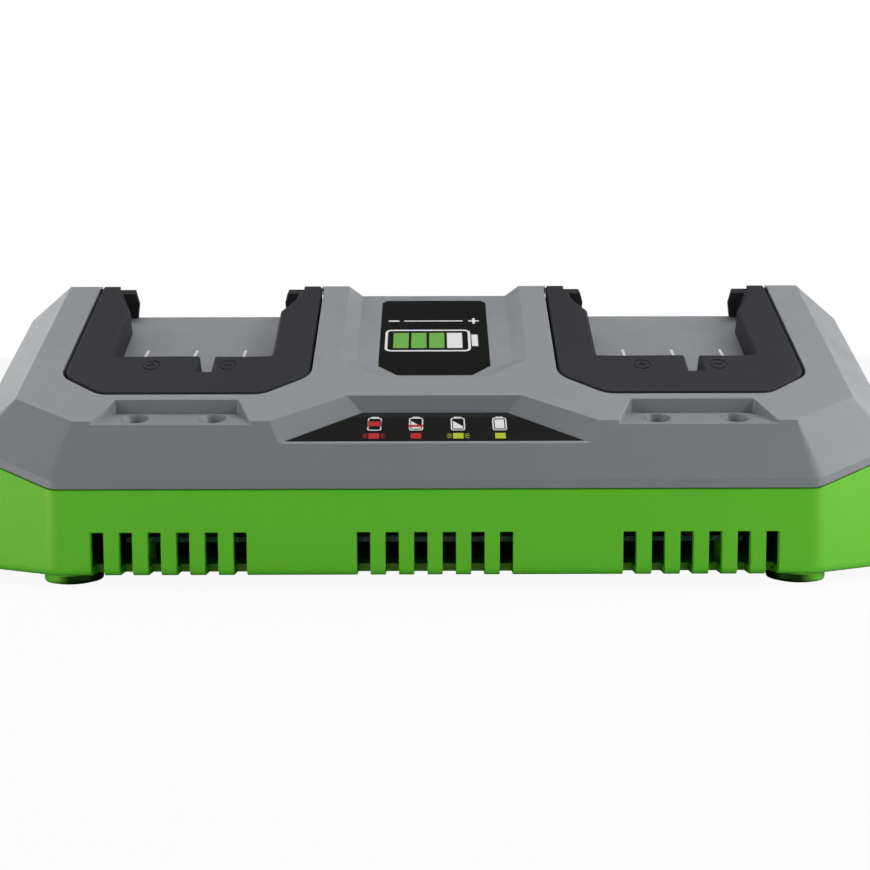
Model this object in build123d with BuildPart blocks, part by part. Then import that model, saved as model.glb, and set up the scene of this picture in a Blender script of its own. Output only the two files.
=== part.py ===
"""Two-bay power tool battery charger, as an assembly of separate parts.

Millimetres, +Z up. X = 0 is the middle of the width, Y = 0 the middle of the depth (the
front wall faces -Y) and Z = 0 the surface that the rubber feet stand on.
"""
from build123d import *
from math import cos, hypot, radians, sin, tan
import os

os.makedirs("parts", exist_ok=True)

# ---------------------------------------------------------------- driving sizes
# Housing
width = 298.0  # across the two straight sides
depth = 85.5  # front wall to rear wall
chamfer_across = 31.0  # front corner chamfer, measured along X
chamfer_back = 16.5  # front corner chamfer, measured along Y
corner_radius = 8.0
deck_tilt = 30.5  # slope of the deck and of the parting line, degrees
wall = 2.5
base_front_height = 26.55  # green base at its front wall
base_floor = 2.5
base_edge_radius = 2.4
lip_height = 3.1  # upright grey band over the parting line
front_bevel = 16.6  # width of the front bevels along the deck
side_bevel = 14.5  # width of the side bevels across the deck
parting_gap = 0.5  # shadow line between the two shells
parting_depth = 0.9
tongue_height = 1.2
tongue_thickness = 1.1
fit_gap = 0.1  # clearance between moulded parts that seat in each other

# Feet
foot_height = 3.3
foot_radius = 9.0
foot_edge_radius = 1.0
foot_pad_radius = 6.5
foot_pad_drop = 0.5  # rubber that shows under the boss
foot_pad_recess = 1.5
foot_from_front = 10.5
foot_from_side = 35.0

# Battery bays
bay_shift = 0.95  # bay centre from the middle between the name panel and the side bevel
pocket_width = 54.0  # between the two rails
pocket_depth = 9.75
pocket_foot_widening = 0.5  # on each side, where the arms meet the tray
pocket_front = 39.8  # inner front wall, up the deck from its front crease
bay_floor = 2.2
under_bay_gap = 1.5  # free height under a bay floor, down to the parting line
rail_arm = 13.6  # width of one arm of the rail frame
rail_front = 16.1  # front edge of the rail frame, up the deck
rail_corner_across = 14.35
rail_corner_back = 11.0
rail_rounding = 8.0
pocket_rounding = 1.0
rail_gap = 0.8  # shadow line round the rail frame
rail_roof = 3.0  # over the hollow arms
rail_wall = 2.0
rail_edge = 0.7
rail_gap_seal = 1.6  # length of the closed end of that shadow line, at the rear wall
lead_in_run = 9.4
lead_in_to_wing = 5.0
lead_in_widening = 4.9
lead_in_flare = 0.95  # widening from the end of the lead-in to the wing
lead_in_foot_widening = 2.9  # where its walls meet the tray
lead_in_foot_flare = 0.3
wing_thickness = 3.7  # along the deck, at its top
wing_foot = 0.8  # along the deck, where it meets the tray
wing_drop = 1.0
wing_shoulder = 1.25  # lowered part of the arm beside the wing
wing_edge_lean = 1.4  # of the upper part of its free edge
wing_edge_height = 5.0
wing_foot_lean = 0.7  # of the lower end of its free edge
key_notch_width = 5.1
key_notch_depth = 10.0
key_notch_offset = 5.2
sign_radius = 3.0
sign_line = 0.55
sign_depth = 0.4
sign_up = 33.4  # polarity signs, up the deck
plus_offset = -12.6
minus_offset = 13.0

# Contacts
blade_pitch = 16.8
blade_thickness = 1.0
blade_height = 5.6
blade_top = 2.6  # under the deck
blade_reach = 9.3  # into the pocket
blade_level_reach = 2.4  # of it, before its top edge falls away
blade_fall = 1.1
blade_slot_gap = 0.15
block_front = 19.5  # terminal block, up the deck
block_length = 8.6
block_width = 44.0
block_cover = 1.0  # block over the top edge of the blades
tail_length = 5.0
tail_width = 3.0

# Charge lamps in front of each bay
lamp_recess_back = 12.2  # back wall of the recess, up the deck
lamp_recess_rear_width = 39.6
lamp_recess_front_width = 49.6
lamp_shift = 0.6  # lamps and recess, outwards from the bay's middle
lamp_recess_back_height = 4.4
lamp_recess_rounding = 1.0  # of its upright rear corners
lamp_floor_tilt = 14.5
lamp_pitch = 24.6
lamp_from_back = 5.6
lamp_dimple_radius = 4.5
lamp_radius = 2.5
lamp_hole_gap = 0.15
lamp_dimple_depth = 2.8
lamp_collar = 0.9  # round and under a dimple, below the recess floor
lamp_body = 5.2
lamp_flange = 0.5
lamp_board_thickness = 1.6
lamp_board_width = 42.0
lamp_board_depth = 11.0
lamp_post_radius = 1.8
lamp_post_inset = 2.6

# Name plate in its sunken panel
name_recess_half = 31.4
name_recess_corner_run = 12.8
name_recess_front = 26.2
name_recess_corner = 37.0
name_recess_slope = 5.1  # run of its sloping side walls
name_recess_drop_front = 0.5
name_recess_fall = 2.5  # floor slope against the deck, degrees
name_plate_margin = 12.7
name_plate_front = 27.6
name_plate_rear = 83.0
name_plate_corner_front = 6.4
name_plate_corner_rear = 1.6
name_plate_thickness = 0.8
plate_gap = 0.15

# Lamp legend on the front edge
legend_from_lamps = 29.6  # free deck between the legend and a lamp recess
legend_rear = 14.45
legend_splay = 1.62  # widening of each side of its rim per length down the deck
legend_floor_splay = 1.47  # the same of its floor
legend_depth = 4.15
legend_wall_run = 3.75
legend_side_run = 4.95
legend_thickness = 0.8
legend_margin = 0.1
legend_front_margin = 1.2

# Vents
vent_count = 6
vent_pitch = 8.8
vent_width = 4.14
vent_height = 13.6  # over the underside
vent_under = 8.0  # on under the base
fan_vent_count = 6
fan_vent_height = 3.2
fan_vent_pitch = 6.0

# Screws
boss_radius = 4.0
screw_radius = 1.5
screw_hole_gap = 0.2
screw_head_radius = 2.8
screw_head_height = 2.0
screw_socket_radius = 1.1
screw_bite = 9.0  # thread length in the upper shell
screw_grip = 8.0  # from the head's seat up to the parting line
thread_gap = 0.05
frame_screw_radius = 1.25
frame_screw_head_radius = 2.4
frame_screw_head_height = 1.4
frame_screw_bite = 5.0
fan_screw_bite = 7.0
small_screw_radius = 0.9
small_screw_head_radius = 1.7
small_screw_bite = 4.0
frame_boss_radius = 2.9

# Main circuit board
board_width = 196.0
board_depth = 56.0
board_thickness = 1.6
board_centre_y = -1.5
board_lift = 6.0  # over the floor
board_post_radius = 3.2
board_hole_inset = 5.0

# Fan
fan_size = 40.0
fan_thickness = 10.0
fan_duct_radius = 18.6
fan_hub_radius = 7.5
fan_blade_gap = 0.8
fan_blades = 7
fan_blade_pitch = 40.0
fan_blade_chord = 7.0
fan_blade_thickness = 1.0
fan_shaft_radius = 1.0
fan_shaft_gap = 0.05
fan_strut = 2.0
fan_web = 1.6
fan_bearing_radius = 2.6
fan_coil_radius = 5.2
fan_cap = 1.2
fan_hole_inset = 4.0
fan_lift = 5.0  # over the floor

# Mains inlet, a two-pole figure-eight socket
inlet_from_side = 31.0
inlet_z = 21.0
inlet_lobe_radius = 3.9
inlet_lobe_pitch = 6.6
inlet_socket_depth = 12.0
inlet_body_width = 22.0
inlet_body_height = 15.0
inlet_body_depth = 17.0
inlet_flange = 2.0
inlet_pin_radius = 1.15
inlet_pin_length = 8.0
inlet_pin_tail = 4.0

# Transformer
core_x = 2.0
core_y = 9.0
core_width = 36.0
core_depth = 13.0
core_height = 30.0
core_leg = 12.0
core_window = 6.5
core_window_height = 20.0
bobbin_skin = 1.0
bobbin_depth = 25.0

# Other pieces on the board
choke_x = -66.0
choke_y = 12.0
choke_radius = 9.0
choke_bore = 4.5
choke_height = 7.0
choke_cover = 1.3
bulk_x = -36.0
bulk_y = 10.0
bulk_radius = 11.0
bulk_height = 32.0
output_x = 36.0
output_y = 12.0
output_pitch = 12.5
output_radius = 5.0
output_height = 20.0
sink_y = -16.0
sink_length = 40.0
sink_thickness = 2.5
sink_height = 24.0
sink_fins = 7
sink_fin = 5.0
sink_fin_thickness = 1.2
chip_width = 10.0
chip_thickness = 4.5
chip_height = 15.0
chip_lift = 4.0
x_capacitor_size = (18.0, 9.0, 15.0)
x_capacitor_place = (-66.0, -16.0)
bridge_size = (19.0, 4.5, 15.0)
bridge_place = (-44.0, -18.0)
controller_size = (12.0, 9.0, 1.8)
controller_place = (67.0, -22.0)
sink_primary_x = -12.0
sink_output_x = 38.0
fuse_x = -86.0
fuse_y = 4.0
fuse_radius = 2.6
fuse_length = 20.0
header_inset = 14.0  # from the board's end
header_y = -19.0
header_size = (16.0, 6.0, 8.0)
header_pitch = 5.0

# Wires
wire_radius = 0.9

# ---------------------------------------------------------------- derived places
half_width = width / 2
bay_offset = (name_recess_half + half_width - side_bevel) / 2 - bay_shift
lamp_offset = bay_offset + lamp_shift
foot_x = half_width - foot_from_side
inlet_x = inlet_from_side - half_width
front_y = -depth / 2
rear_y = depth / 2
tilt = radians(deck_tilt)
split_level = -(pocket_depth + bay_floor + under_bay_gap)
lip_level = split_level + lip_height * cos(tilt)
deck_rise = -lip_level
split_front_z = foot_height + base_front_height
floor_z = foot_height + base_floor
crease_y = front_y + front_bevel * cos(tilt) - deck_rise * sin(tilt)
crease_z = split_front_z + lip_height + front_bevel * sin(tilt) + deck_rise * cos(tilt)

deck = Plane(origin=(0, crease_y, crease_z), x_dir=(1, 0, 0), z_dir=(0, -sin(tilt), cos(tilt)))
split_plane = deck.offset(split_level)
rear_plane = Plane(origin=(0, rear_y, 0), x_dir=(1, 0, 0), z_dir=(0, 1, 0))
floor_plane = Plane.XY.offset(floor_z)
past_rear = depth / cos(tilt) + 40  # a reach up the deck that is surely behind the rear wall
tall = 200.0  # longer than any height in the charger


def in_charger(x, up, level):
    """Place of a point given across the deck, up the deck and over the deck."""
    return deck.from_local_coords(Vector(x, up, level))


def rear_up(level):
    """How far up the deck the rear wall is, at a level over or under the deck."""
    return (rear_y - crease_y + level * sin(tilt)) / cos(tilt)


def outline_points(level, inset, side_inset):
    """Corners of the housing's outline on a plane parallel to the deck."""
    front = -front_bevel + (min(level, lip_level) - lip_level) * tan(tilt)
    run = chamfer_across
    rise = chamfer_back / cos(tilt)
    length = hypot(run, rise)
    along = (run / length, rise / length)
    start_x = half_width - run - inset * along[1]
    start_up = front + inset * along[0]
    corner_x = start_x + (front + inset - start_up) / along[1] * along[0]
    side_x = half_width - side_inset
    side_up = start_up + (side_x - start_x) / along[0] * along[1]
    right = [(corner_x, front + inset), (side_x, side_up), (side_x, past_rear)]
    return right + [(-x, up) for x, up in reversed(right)]


def outline(level, inset=0.0, side_inset=None):
    """The housing's outline on a plane parallel to the deck, with rounded front corners."""
    side = inset if side_inset is None else side_inset
    with BuildSketch(deck.offset(level)) as sketch:
        with BuildLine():
            Polyline(*outline_points(level, inset, side), close=True)
        make_face()
        rounding = max(corner_radius - min(inset, side) * 0.5, 1.0)
        fillet([v for v in sketch.vertices() if v.Y < past_rear - 1.0], rounding)
    return sketch.sketch


def bevel_inset(level, run, skin):
    """Inset of a bevel's inner face at a level, for a bevel of a given run and skin."""
    return run * (level + deck_rise) / deck_rise + skin * hypot(run, deck_rise) / deck_rise


# The rail frame's outline, the pocket between its arms and the sink that it sits in
rail_half = pocket_width / 2 + rail_arm
wing_front = rear_up(0) - wing_thickness
lead_in_end = wing_front - lead_in_to_wing
lead_in_start = lead_in_end - lead_in_run


def rail_outline(grow=0.0):
    """Corners of a rail frame's outer outline, about the bay's centre."""
    half = rail_half + grow
    front = rail_front - grow
    slant = hypot(rail_corner_across, rail_corner_back)
    ease_x = grow * (slant - rail_corner_across) / rail_corner_back
    ease_up = grow * (slant - rail_corner_back) / rail_corner_across
    right = [
        (half - rail_corner_across - grow + ease_x, front),
        (half, front + rail_corner_back + grow - ease_up),
        (half, past_rear),
    ]
    return right + [(-x, up) for x, up in reversed(right)]


def pocket_outline(foot, widening, flare):
    """Corners of the space between the rails, with the lead-in at its rear."""
    half = pocket_width / 2 + foot
    wide = pocket_width / 2 + widening
    right = [
        (half, pocket_front),
        (half, lead_in_start),
        (wide, lead_in_end),
        (wide + flare, wing_front),
        (wide + flare, past_rear),
    ]
    return right + [(-x, up) for x, up in reversed(right)]


# Charge-lamp recess: an upright back wall, upright splayed sides and a sloping floor
lamp_wall_y = crease_y + lamp_recess_back * cos(tilt)
lamp_wall_z = crease_z + lamp_recess_back * sin(tilt) - lamp_recess_back_height
lamp_tilt = radians(lamp_floor_tilt)
lamp_floor = Plane(
    origin=(0, lamp_wall_y, lamp_wall_z),
    x_dir=(1, 0, 0),
    z_dir=(0, -sin(lamp_tilt), cos(lamp_tilt)),
)
lamp_recess_splay = (lamp_recess_front_width - lamp_recess_rear_width) / 2 / (lamp_wall_y - crease_y)


def lamp_recess_plan(grow=0.0):
    """Plan corners of a charge-lamp recess, about the bay's centre."""
    back = lamp_wall_y + grow
    front = front_y - 5.0
    rear_half = lamp_recess_rear_width / 2 + grow
    front_half = rear_half + (back - front) * lamp_recess_splay
    return [(-rear_half, back), (rear_half, back), (front_half, front), (-front_half, front)]


# Name-plate floor: meets the deck at the front and falls away from it towards the rear
name_recess_front_half = name_recess_half - name_recess_corner_run
name_plate_half = name_recess_half - name_plate_margin
name_fall = tan(radians(name_recess_fall))


def name_drop(up):
    """Depth of the name plate's floor under the deck, at a place up the deck."""
    return name_recess_drop_front + (up - name_recess_front) * name_fall


name_floor = Plane(
    origin=in_charger(0, name_recess_front, -name_recess_drop_front),
    x_dir=(1, 0, 0),
    z_dir=(0, -sin(tilt - radians(name_recess_fall)), cos(tilt - radians(name_recess_fall))),
)

# Legend recess
legend_rear_half = lamp_offset - lamp_recess_front_width / 2 - legend_from_lamps
legend_floor_rear = legend_rear - legend_wall_run
legend_floor_half = legend_rear_half - legend_side_run


def legend_points(half, rear, front, splay):
    """Corners of a trapezoid that widens down the deck."""
    front_half = half + (rear - front) * splay
    return [(-half, rear), (half, rear), (front_half, front), (-front_half, front)]


# Housing screws and feet, about the plan centre
foot_places = [(sx * foot_x, sy * (rear_y - foot_from_front)) for sy in (-1, 1) for sx in (-1, 1)]
boss_front_x = half_width - wall - boss_radius - 10.5
boss_side_x = half_width - wall - boss_radius - 5.5
boss_middle_x = bay_offset - rail_half - boss_radius - 3.4
housing_screw_places = [
    (sx * x, y)
    for x, y in (
        (boss_front_x, front_y + chamfer_back + 9.8),
        (boss_side_x, rear_y - 15.0),
        (boss_middle_x, rear_y - 9.0),
    )
    for sx in (-1, 1)
]


def split_z(y):
    """Height of the parting line at a depth."""
    return split_front_z + (y - front_y) * tan(tilt)


# Frame screws stand square to the deck, in the hollow arms of the rail frames
channel_inner = pocket_width / 2 + lead_in_widening + rail_wall
channel_outer = pocket_width / 2 + rail_arm - rail_wall
frame_screw_x = (channel_inner + channel_outer) / 2
frame_screw_ups = (pocket_front + 6.0, lead_in_start + 1.0)
frame_screw_places = [(sx * frame_screw_x, up) for sx in (-1, 1) for up in frame_screw_ups]
rail_height = pocket_depth - fit_gap

# Terminal block and blades
block_top = blade_top - block_cover
block_height = pocket_depth - block_top
blade_rear = block_front + block_length / 2
blade_end = pocket_front + blade_reach
blade_places = (-blade_pitch, 0.0, blade_pitch)

# Circuit board
board_z = floor_z + board_lift
board_top = board_z + board_thickness
board_screw_places = [
    (sx * (board_width / 2 - board_hole_inset), board_centre_y + sy * (board_depth / 2 - board_hole_inset))
    for sx in (-1, 1)
    for sy in (-1, 1)
]
board_front = board_centre_y - board_depth / 2
header_x = board_width / 2 - header_inset

core_window_x = (core_leg + core_window) / 2
bobbin_width = core_leg + 2 * core_window - 2 * fit_gap
bobbin_height = core_window_height - 2 * fit_gap
bobbin_low = board_top + (core_height - bobbin_height) / 2

# Fan: stands upright behind the rear wall, blowing out through it
fan_rear_y = rear_y - wall - fit_gap
fan_centre_z = floor_z + fan_lift + fan_size / 2
fan_back = Plane(origin=(0, fan_rear_y, fan_centre_z), x_dir=(-1, 0, 0), z_dir=(0, 1, 0))
fan_hole_span = fan_size - 2 * fan_hole_inset

stand_up = (Align.CENTER, Align.CENTER, Align.MIN)
hang_down = (Align.CENTER, Align.CENTER, Align.MAX)

# Charge lamps: two per bay, square to the recess floor
lamp_places = [
    (centre + sx * lamp_pitch / 2, -lamp_from_back, 0)
    for centre in (-lamp_offset, lamp_offset)
    for sx in (-1, 1)
]
lamp_tip = -lamp_dimple_depth + 0.4
lamp_board_top = lamp_tip - lamp_radius - lamp_body
lamp_post_length = -lamp_board_top - rail_wall / 2
lamp_post_places = [
    (centre + sx * (lamp_board_width / 2 - lamp_post_inset), -lamp_from_back, -rail_wall / 2)
    for centre in (-lamp_offset, lamp_offset)
    for sx in (-1, 1)
]

# Vents, the seats of screw heads and the inlet's face
vent_places = [
    group * bay_offset + (slot - (vent_count - 1) / 2) * vent_pitch
    for group in (-1, 0, 1)
    for slot in range(vent_count)
]
inlet_face = Plane(origin=(inlet_x, rear_y, inlet_z), x_dir=(-1, 0, 0), z_dir=(0, 1, 0))


def name_plate_points(grow=0.0):
    """Corners of the name plate on the sunken floor, measured from the floor's front edge."""
    half = name_plate_half + grow
    front = name_plate_front - name_recess_front - grow
    rear = name_plate_rear - name_recess_front + grow
    cut = name_plate_corner_front
    small = name_plate_corner_rear
    right = [(half - cut, front), (half, front + cut), (half, rear - small), (half - small, rear)]
    return right + [(-x, up) for x, up in reversed(right)]


def legend_plate_points(inset=0.0):
    """Corners of the legend panel on its recess floor, down to the front bevel."""
    front = -front_bevel * legend_depth / deck_rise + legend_front_margin
    rear = legend_floor_rear - legend_margin
    half = legend_floor_half - legend_margin - inset
    return legend_points(half, rear - inset, front + inset, legend_floor_splay)


# ---------------------------------------------------------------- upper shell
def bay_blocks(grow, low):
    """Solids under the rail frames' outlines, from the deck down to a level."""
    with BuildPart(mode=Mode.PRIVATE) as blocks:
        for centre in (-bay_offset, bay_offset):
            with BuildSketch(deck) as plan:
                with BuildLine():
                    Polyline(*[(x + centre, up) for x, up in rail_outline(grow)], close=True)
                make_face()
                fillet([v for v in plan.vertices() if v.Y < past_rear - 1], rail_rounding + grow)
            extrude(amount=low)
    return blocks.part


def gap_seals():
    """Fillers that close the shadow line round the rail frames at the rear wall."""
    with BuildPart(mode=Mode.PRIVATE) as seals:
        with BuildSketch(deck):
            for centre in (-bay_offset, bay_offset):
                for side in (-1, 1):
                    middle = rail_half + (rail_gap + fit_gap) / 2
                    with Locations((centre + side * middle, rear_up(0) + rail_gap_seal)):
                        Rectangle(rail_gap - fit_gap, 4 * rail_gap_seal)
        extrude(amount=-pocket_depth)
        split(bisect_by=rear_plane, keep=Keep.BOTTOM)
    return seals.part


def lamp_blocks(grow):
    """Solids of the charge-lamp recesses, upwards from their sloping floors."""
    with BuildPart(mode=Mode.PRIVATE) as blocks:
        for centre in (-lamp_offset, lamp_offset):
            with BuildSketch(Plane.XY) as plan:
                with BuildLine():
                    Polyline(*[(x + centre, y) for x, y in lamp_recess_plan(grow)], close=True)
                make_face()
                fillet(plan.vertices().group_by(Axis.Y)[-1], lamp_recess_rounding + grow)
            extrude(amount=tall)
        split(bisect_by=lamp_floor.offset(-grow), keep=Keep.TOP)
    return blocks.part


def legend_block(grow, low):
    """Solid of the legend recess, with its sloping back and side walls."""
    front = -front_bevel - 5.0
    with BuildPart(mode=Mode.PRIVATE) as block:
        with BuildSketch(deck):
            with BuildLine():
                half = legend_rear_half + grow
                Polyline(*legend_points(half, legend_rear + grow, front, legend_splay), close=True)
            make_face()
        with BuildSketch(deck.offset(-low)):
            with BuildLine():
                half = legend_floor_half + grow
                rear = legend_floor_rear + grow
                Polyline(*legend_points(half, rear, front, legend_floor_splay), close=True)
            make_face()
        loft(ruled=True)
    return block.part


def name_block(grow, sink):
    """Solid of the name plate's sunken panel, with its floor falling towards the rear."""
    sections = (
        (name_recess_front - grow, name_recess_front_half + grow),
        (name_recess_corner - grow, name_recess_half + grow),
        (past_rear, name_recess_half + grow),
    )
    with BuildPart(mode=Mode.PRIVATE) as block:
        for up, half in sections:
            place = Plane(origin=in_charger(0, up, 0), x_dir=(1, 0, 0), z_dir=deck.y_dir)
            drop = name_drop(up) + sink
            with BuildSketch(place):
                with BuildLine():
                    low_half = half - name_recess_slope
                    Polyline((-half, 0), (half, 0), (low_half, drop), (-low_half, drop), close=True)
                make_face()
        loft(ruled=True)
    return block.part


rebate = tongue_height + fit_gap
rebate_inset = wall - tongue_thickness - fit_gap
shadow_level = split_level + parting_gap * cos(tilt)

with BuildPart() as top_cavity:
    lip_skins = [bevel_inset(lip_level, run, wall) for run in (front_bevel, side_bevel)]
    deck_skins = [bevel_inset(-wall, run, wall) for run in (front_bevel, side_bevel)]
    loft(sections=[outline(lip_level, *lip_skins), outline(-wall, *deck_skins)], ruled=True)
    extrude(outline(lip_level, wall / cos(tilt), wall), amount=lip_height, dir=(0, 0, -1))
    split(bisect_by=rear_plane.offset(-wall), keep=Keep.BOTTOM)
    # What stays solid: bay trays, recess walls, screw bosses and collars under the lamp dimples
    add(bay_blocks(rail_gap + rail_wall, -(pocket_depth + bay_floor)), mode=Mode.SUBTRACT)
    add(lamp_blocks(rail_wall), mode=Mode.SUBTRACT)
    add(legend_block(rail_wall, legend_depth + legend_thickness + rail_wall), mode=Mode.SUBTRACT)
    add(name_block(rail_wall, name_plate_thickness + rail_wall), mode=Mode.SUBTRACT)
    with Locations(*housing_screw_places):
        Cylinder(boss_radius, tall, mode=Mode.SUBTRACT)
    for place in lamp_places:
        with Locations(lamp_floor * Location(place)):
            collar_radius = lamp_dimple_radius + lamp_collar
            Cylinder(collar_radius, lamp_dimple_depth + lamp_collar, align=hang_down, mode=Mode.SUBTRACT)

with BuildPart() as rebate_ring:
    rebate_top = outline(split_level + rebate * cos(tilt), rebate_inset)
    extrude(rebate_top, amount=rebate, dir=(0, 0, -1))
    split(bisect_by=rear_plane.offset(-rebate_inset), keep=Keep.BOTTOM)

with BuildPart() as inside_shadow:
    extrude(outline(shadow_level, parting_depth), amount=parting_gap, dir=(0, 0, -1))
    split(bisect_by=rear_plane.offset(-parting_depth), keep=Keep.BOTTOM)

with BuildPart() as shadow_line:
    extrude(outline(shadow_level, -2.0), amount=parting_gap, dir=(0, 0, -1))
    add(inside_shadow.part, mode=Mode.SUBTRACT)

with BuildPart() as top_housing:
    loft(sections=[outline(lip_level), outline(0, front_bevel, side_bevel)], ruled=True)
    extrude(outline(lip_level), amount=lip_height, dir=(0, 0, -1))
    split(bisect_by=rear_plane, keep=Keep.BOTTOM)
    add(top_cavity.part, mode=Mode.SUBTRACT)
    add(rebate_ring.part, mode=Mode.SUBTRACT)
    # Bay sinks, recesses and the seats of the two plates
    add(bay_blocks(rail_gap, -pocket_depth), mode=Mode.SUBTRACT)
    add(gap_seals())
    add(lamp_blocks(0), mode=Mode.SUBTRACT)
    add(legend_block(0, legend_depth), mode=Mode.SUBTRACT)
    add(name_block(0, 0), mode=Mode.SUBTRACT)
    add(shadow_line.part, mode=Mode.SUBTRACT)
    # Window in each bay floor under the terminal block, for its tails and leads
    for centre in (-bay_offset, bay_offset):
        with BuildSketch(deck.offset(-pocket_depth)):
            with Locations((centre, blade_rear)):
                Rectangle(block_width - 4.0, block_length - 2.0)
        extrude(amount=-bay_floor, mode=Mode.SUBTRACT)
        # Clearance holes of the frame screws
        with BuildSketch(deck.offset(-pocket_depth)):
            with Locations((centre, 0)):
                with Locations(*frame_screw_places):
                    Circle(frame_screw_radius + screw_hole_gap)
        extrude(amount=-bay_floor, mode=Mode.SUBTRACT)
    # Dimples and holes over the charge lamps
    for place in lamp_places:
        with Locations(lamp_floor * Location(place)):
            Cone(
                lamp_radius + lamp_hole_gap,
                lamp_dimple_radius,
                lamp_dimple_depth,
                align=(Align.CENTER, Align.CENTER, Align.MAX),
                mode=Mode.SUBTRACT,
            )
            Cylinder(lamp_radius + lamp_hole_gap, tall / 10, mode=Mode.SUBTRACT)
    # Seats of the name plate and the legend
    with BuildSketch(name_floor):
        with BuildLine():
            Polyline(*name_plate_points(plate_gap), close=True)
        make_face()
    extrude(amount=-name_plate_thickness, mode=Mode.SUBTRACT)
    with BuildSketch(deck.offset(-legend_depth)):
        with BuildLine():
            Polyline(*legend_plate_points(-plate_gap), close=True)
        make_face()
    extrude(amount=-legend_thickness, mode=Mode.SUBTRACT)
    # Pilot holes of the housing screws
    for x, y in housing_screw_places:
        with Locations((x, y, split_z(y) + (screw_bite + screw_hole_gap) / 2 - 0.1)):
            Cylinder(screw_radius + thread_gap, screw_bite + screw_hole_gap, mode=Mode.SUBTRACT)
    # Posts of the lamp boards
    for x, y, z in lamp_post_places:
        with Locations(lamp_floor * Location((x, y, z))):
            Cylinder(lamp_post_radius, lamp_post_length, align=hang_down)
        with Locations(lamp_floor * Location((x, y, lamp_board_top))):
            pilot = small_screw_radius + thread_gap
            Cylinder(pilot, small_screw_bite + 0.3, align=stand_up, mode=Mode.SUBTRACT)
top_housing.part.label = "top_housing"
export_step(top_housing.part, "parts/top_housing.step")

# ---------------------------------------------------------------- lower shell
with BuildPart() as base_cavity:
    extrude(outline(split_level, wall / cos(tilt), wall), amount=tall, dir=(0, 0, -1))
    split(bisect_by=floor_plane, keep=Keep.TOP)
    split(bisect_by=rear_plane.offset(-wall), keep=Keep.BOTTOM)
    with Locations(*[(x, y, 0) for x, y in housing_screw_places]):
        Cylinder(boss_radius, tall, mode=Mode.SUBTRACT)
    with Locations(*[(x, y, 0) for x, y in board_screw_places]):
        Cylinder(board_post_radius, board_z, align=stand_up, mode=Mode.SUBTRACT)

tongue_level = split_level + tongue_height * cos(tilt)

with BuildPart() as inside_tongue:
    extrude(outline(tongue_level, wall / cos(tilt), wall), amount=tongue_height, dir=(0, 0, -1))
    split(bisect_by=rear_plane.offset(-wall), keep=Keep.BOTTOM)

with BuildPart() as tongue:
    extrude(outline(tongue_level, wall - tongue_thickness), amount=tongue_height, dir=(0, 0, -1))
    split(bisect_by=rear_plane.offset(tongue_thickness - wall), keep=Keep.BOTTOM)
    add(inside_tongue.part, mode=Mode.SUBTRACT)

with BuildPart() as base_housing:
    extrude(outline(split_level), amount=tall, dir=(0, 0, -1))
    split(bisect_by=Plane.XY.offset(foot_height), keep=Keep.TOP)
    split(bisect_by=rear_plane, keep=Keep.BOTTOM)
    fillet(faces().sort_by(Axis.Z)[0].edges(), base_edge_radius)
    add(base_cavity.part, mode=Mode.SUBTRACT)
    add(tongue.part)
    # Vents down the front wall and on under the base
    with BuildSketch(Plane.XY):
        with Locations(*[(x, front_y + vent_under / 2) for x in vent_places]):
            Rectangle(vent_width, vent_under)
    extrude(amount=floor_z, mode=Mode.SUBTRACT)
    with BuildSketch(Plane.XZ.offset(-front_y)):
        with Locations(*[(x, foot_height + vent_height / 2) for x in vent_places]):
            Rectangle(vent_width, vent_height)
    extrude(amount=-wall - 0.5, both=True, mode=Mode.SUBTRACT)
    # Foot bosses with a seat for each rubber pad
    with Locations(*[(x, y, foot_pad_drop) for x, y in foot_places]):
        Cylinder(foot_radius, foot_height + 1.0 - foot_pad_drop, align=stand_up)
    fillet(faces().sort_by(Axis.Z)[:4].edges(), foot_edge_radius)
    with Locations(*[(x, y, foot_pad_drop) for x, y in foot_places]):
        Cylinder(foot_pad_radius + fit_gap, foot_pad_recess, align=stand_up, mode=Mode.SUBTRACT)
    # Fan grille, fan screw holes and the window of the mains inlet in the rear wall
    with BuildSketch(fan_back.offset(-fit_gap)):
        with GridLocations(fan_vent_pitch, fan_vent_pitch, 1, fan_vent_count):
            SlotOverall(fan_duct_radius * 2 - 4.0, fan_vent_height)
        with GridLocations(fan_hole_span, fan_hole_span, 2, 2):
            Circle(frame_screw_radius + screw_hole_gap)
    extrude(amount=wall + 2 * fit_gap, mode=Mode.SUBTRACT)
    with BuildSketch(fan_back.offset(wall + fit_gap - frame_screw_head_height)):
        with GridLocations(fan_hole_span, fan_hole_span, 2, 2):
            Circle(frame_screw_head_radius + screw_hole_gap)
    extrude(amount=frame_screw_head_height + fit_gap, mode=Mode.SUBTRACT)
    with BuildSketch(inlet_face):
        RectangleRounded(inlet_body_width + 2 * fit_gap, inlet_body_height + 2 * fit_gap, 2.0)
    extrude(amount=-wall - 0.5, mode=Mode.SUBTRACT)
    # Housing screws: clearance holes and head counterbores from below
    for x, y in housing_screw_places:
        with Locations((x, y, 0)):
            Cylinder(screw_radius + screw_hole_gap, tall, mode=Mode.SUBTRACT)
            seat = split_z(y) - screw_grip
            Cylinder(screw_head_radius + screw_hole_gap, seat, align=stand_up, mode=Mode.SUBTRACT)
    # Pilot holes in the board posts
    with Locations(*[(x, y, board_z) for x, y in board_screw_places]):
        Cylinder(frame_screw_radius + thread_gap, board_lift - 0.5, align=hang_down, mode=Mode.SUBTRACT)
base_housing.part.label = "base_housing"
export_step(base_housing.part, "parts/base_housing.step")

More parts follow.
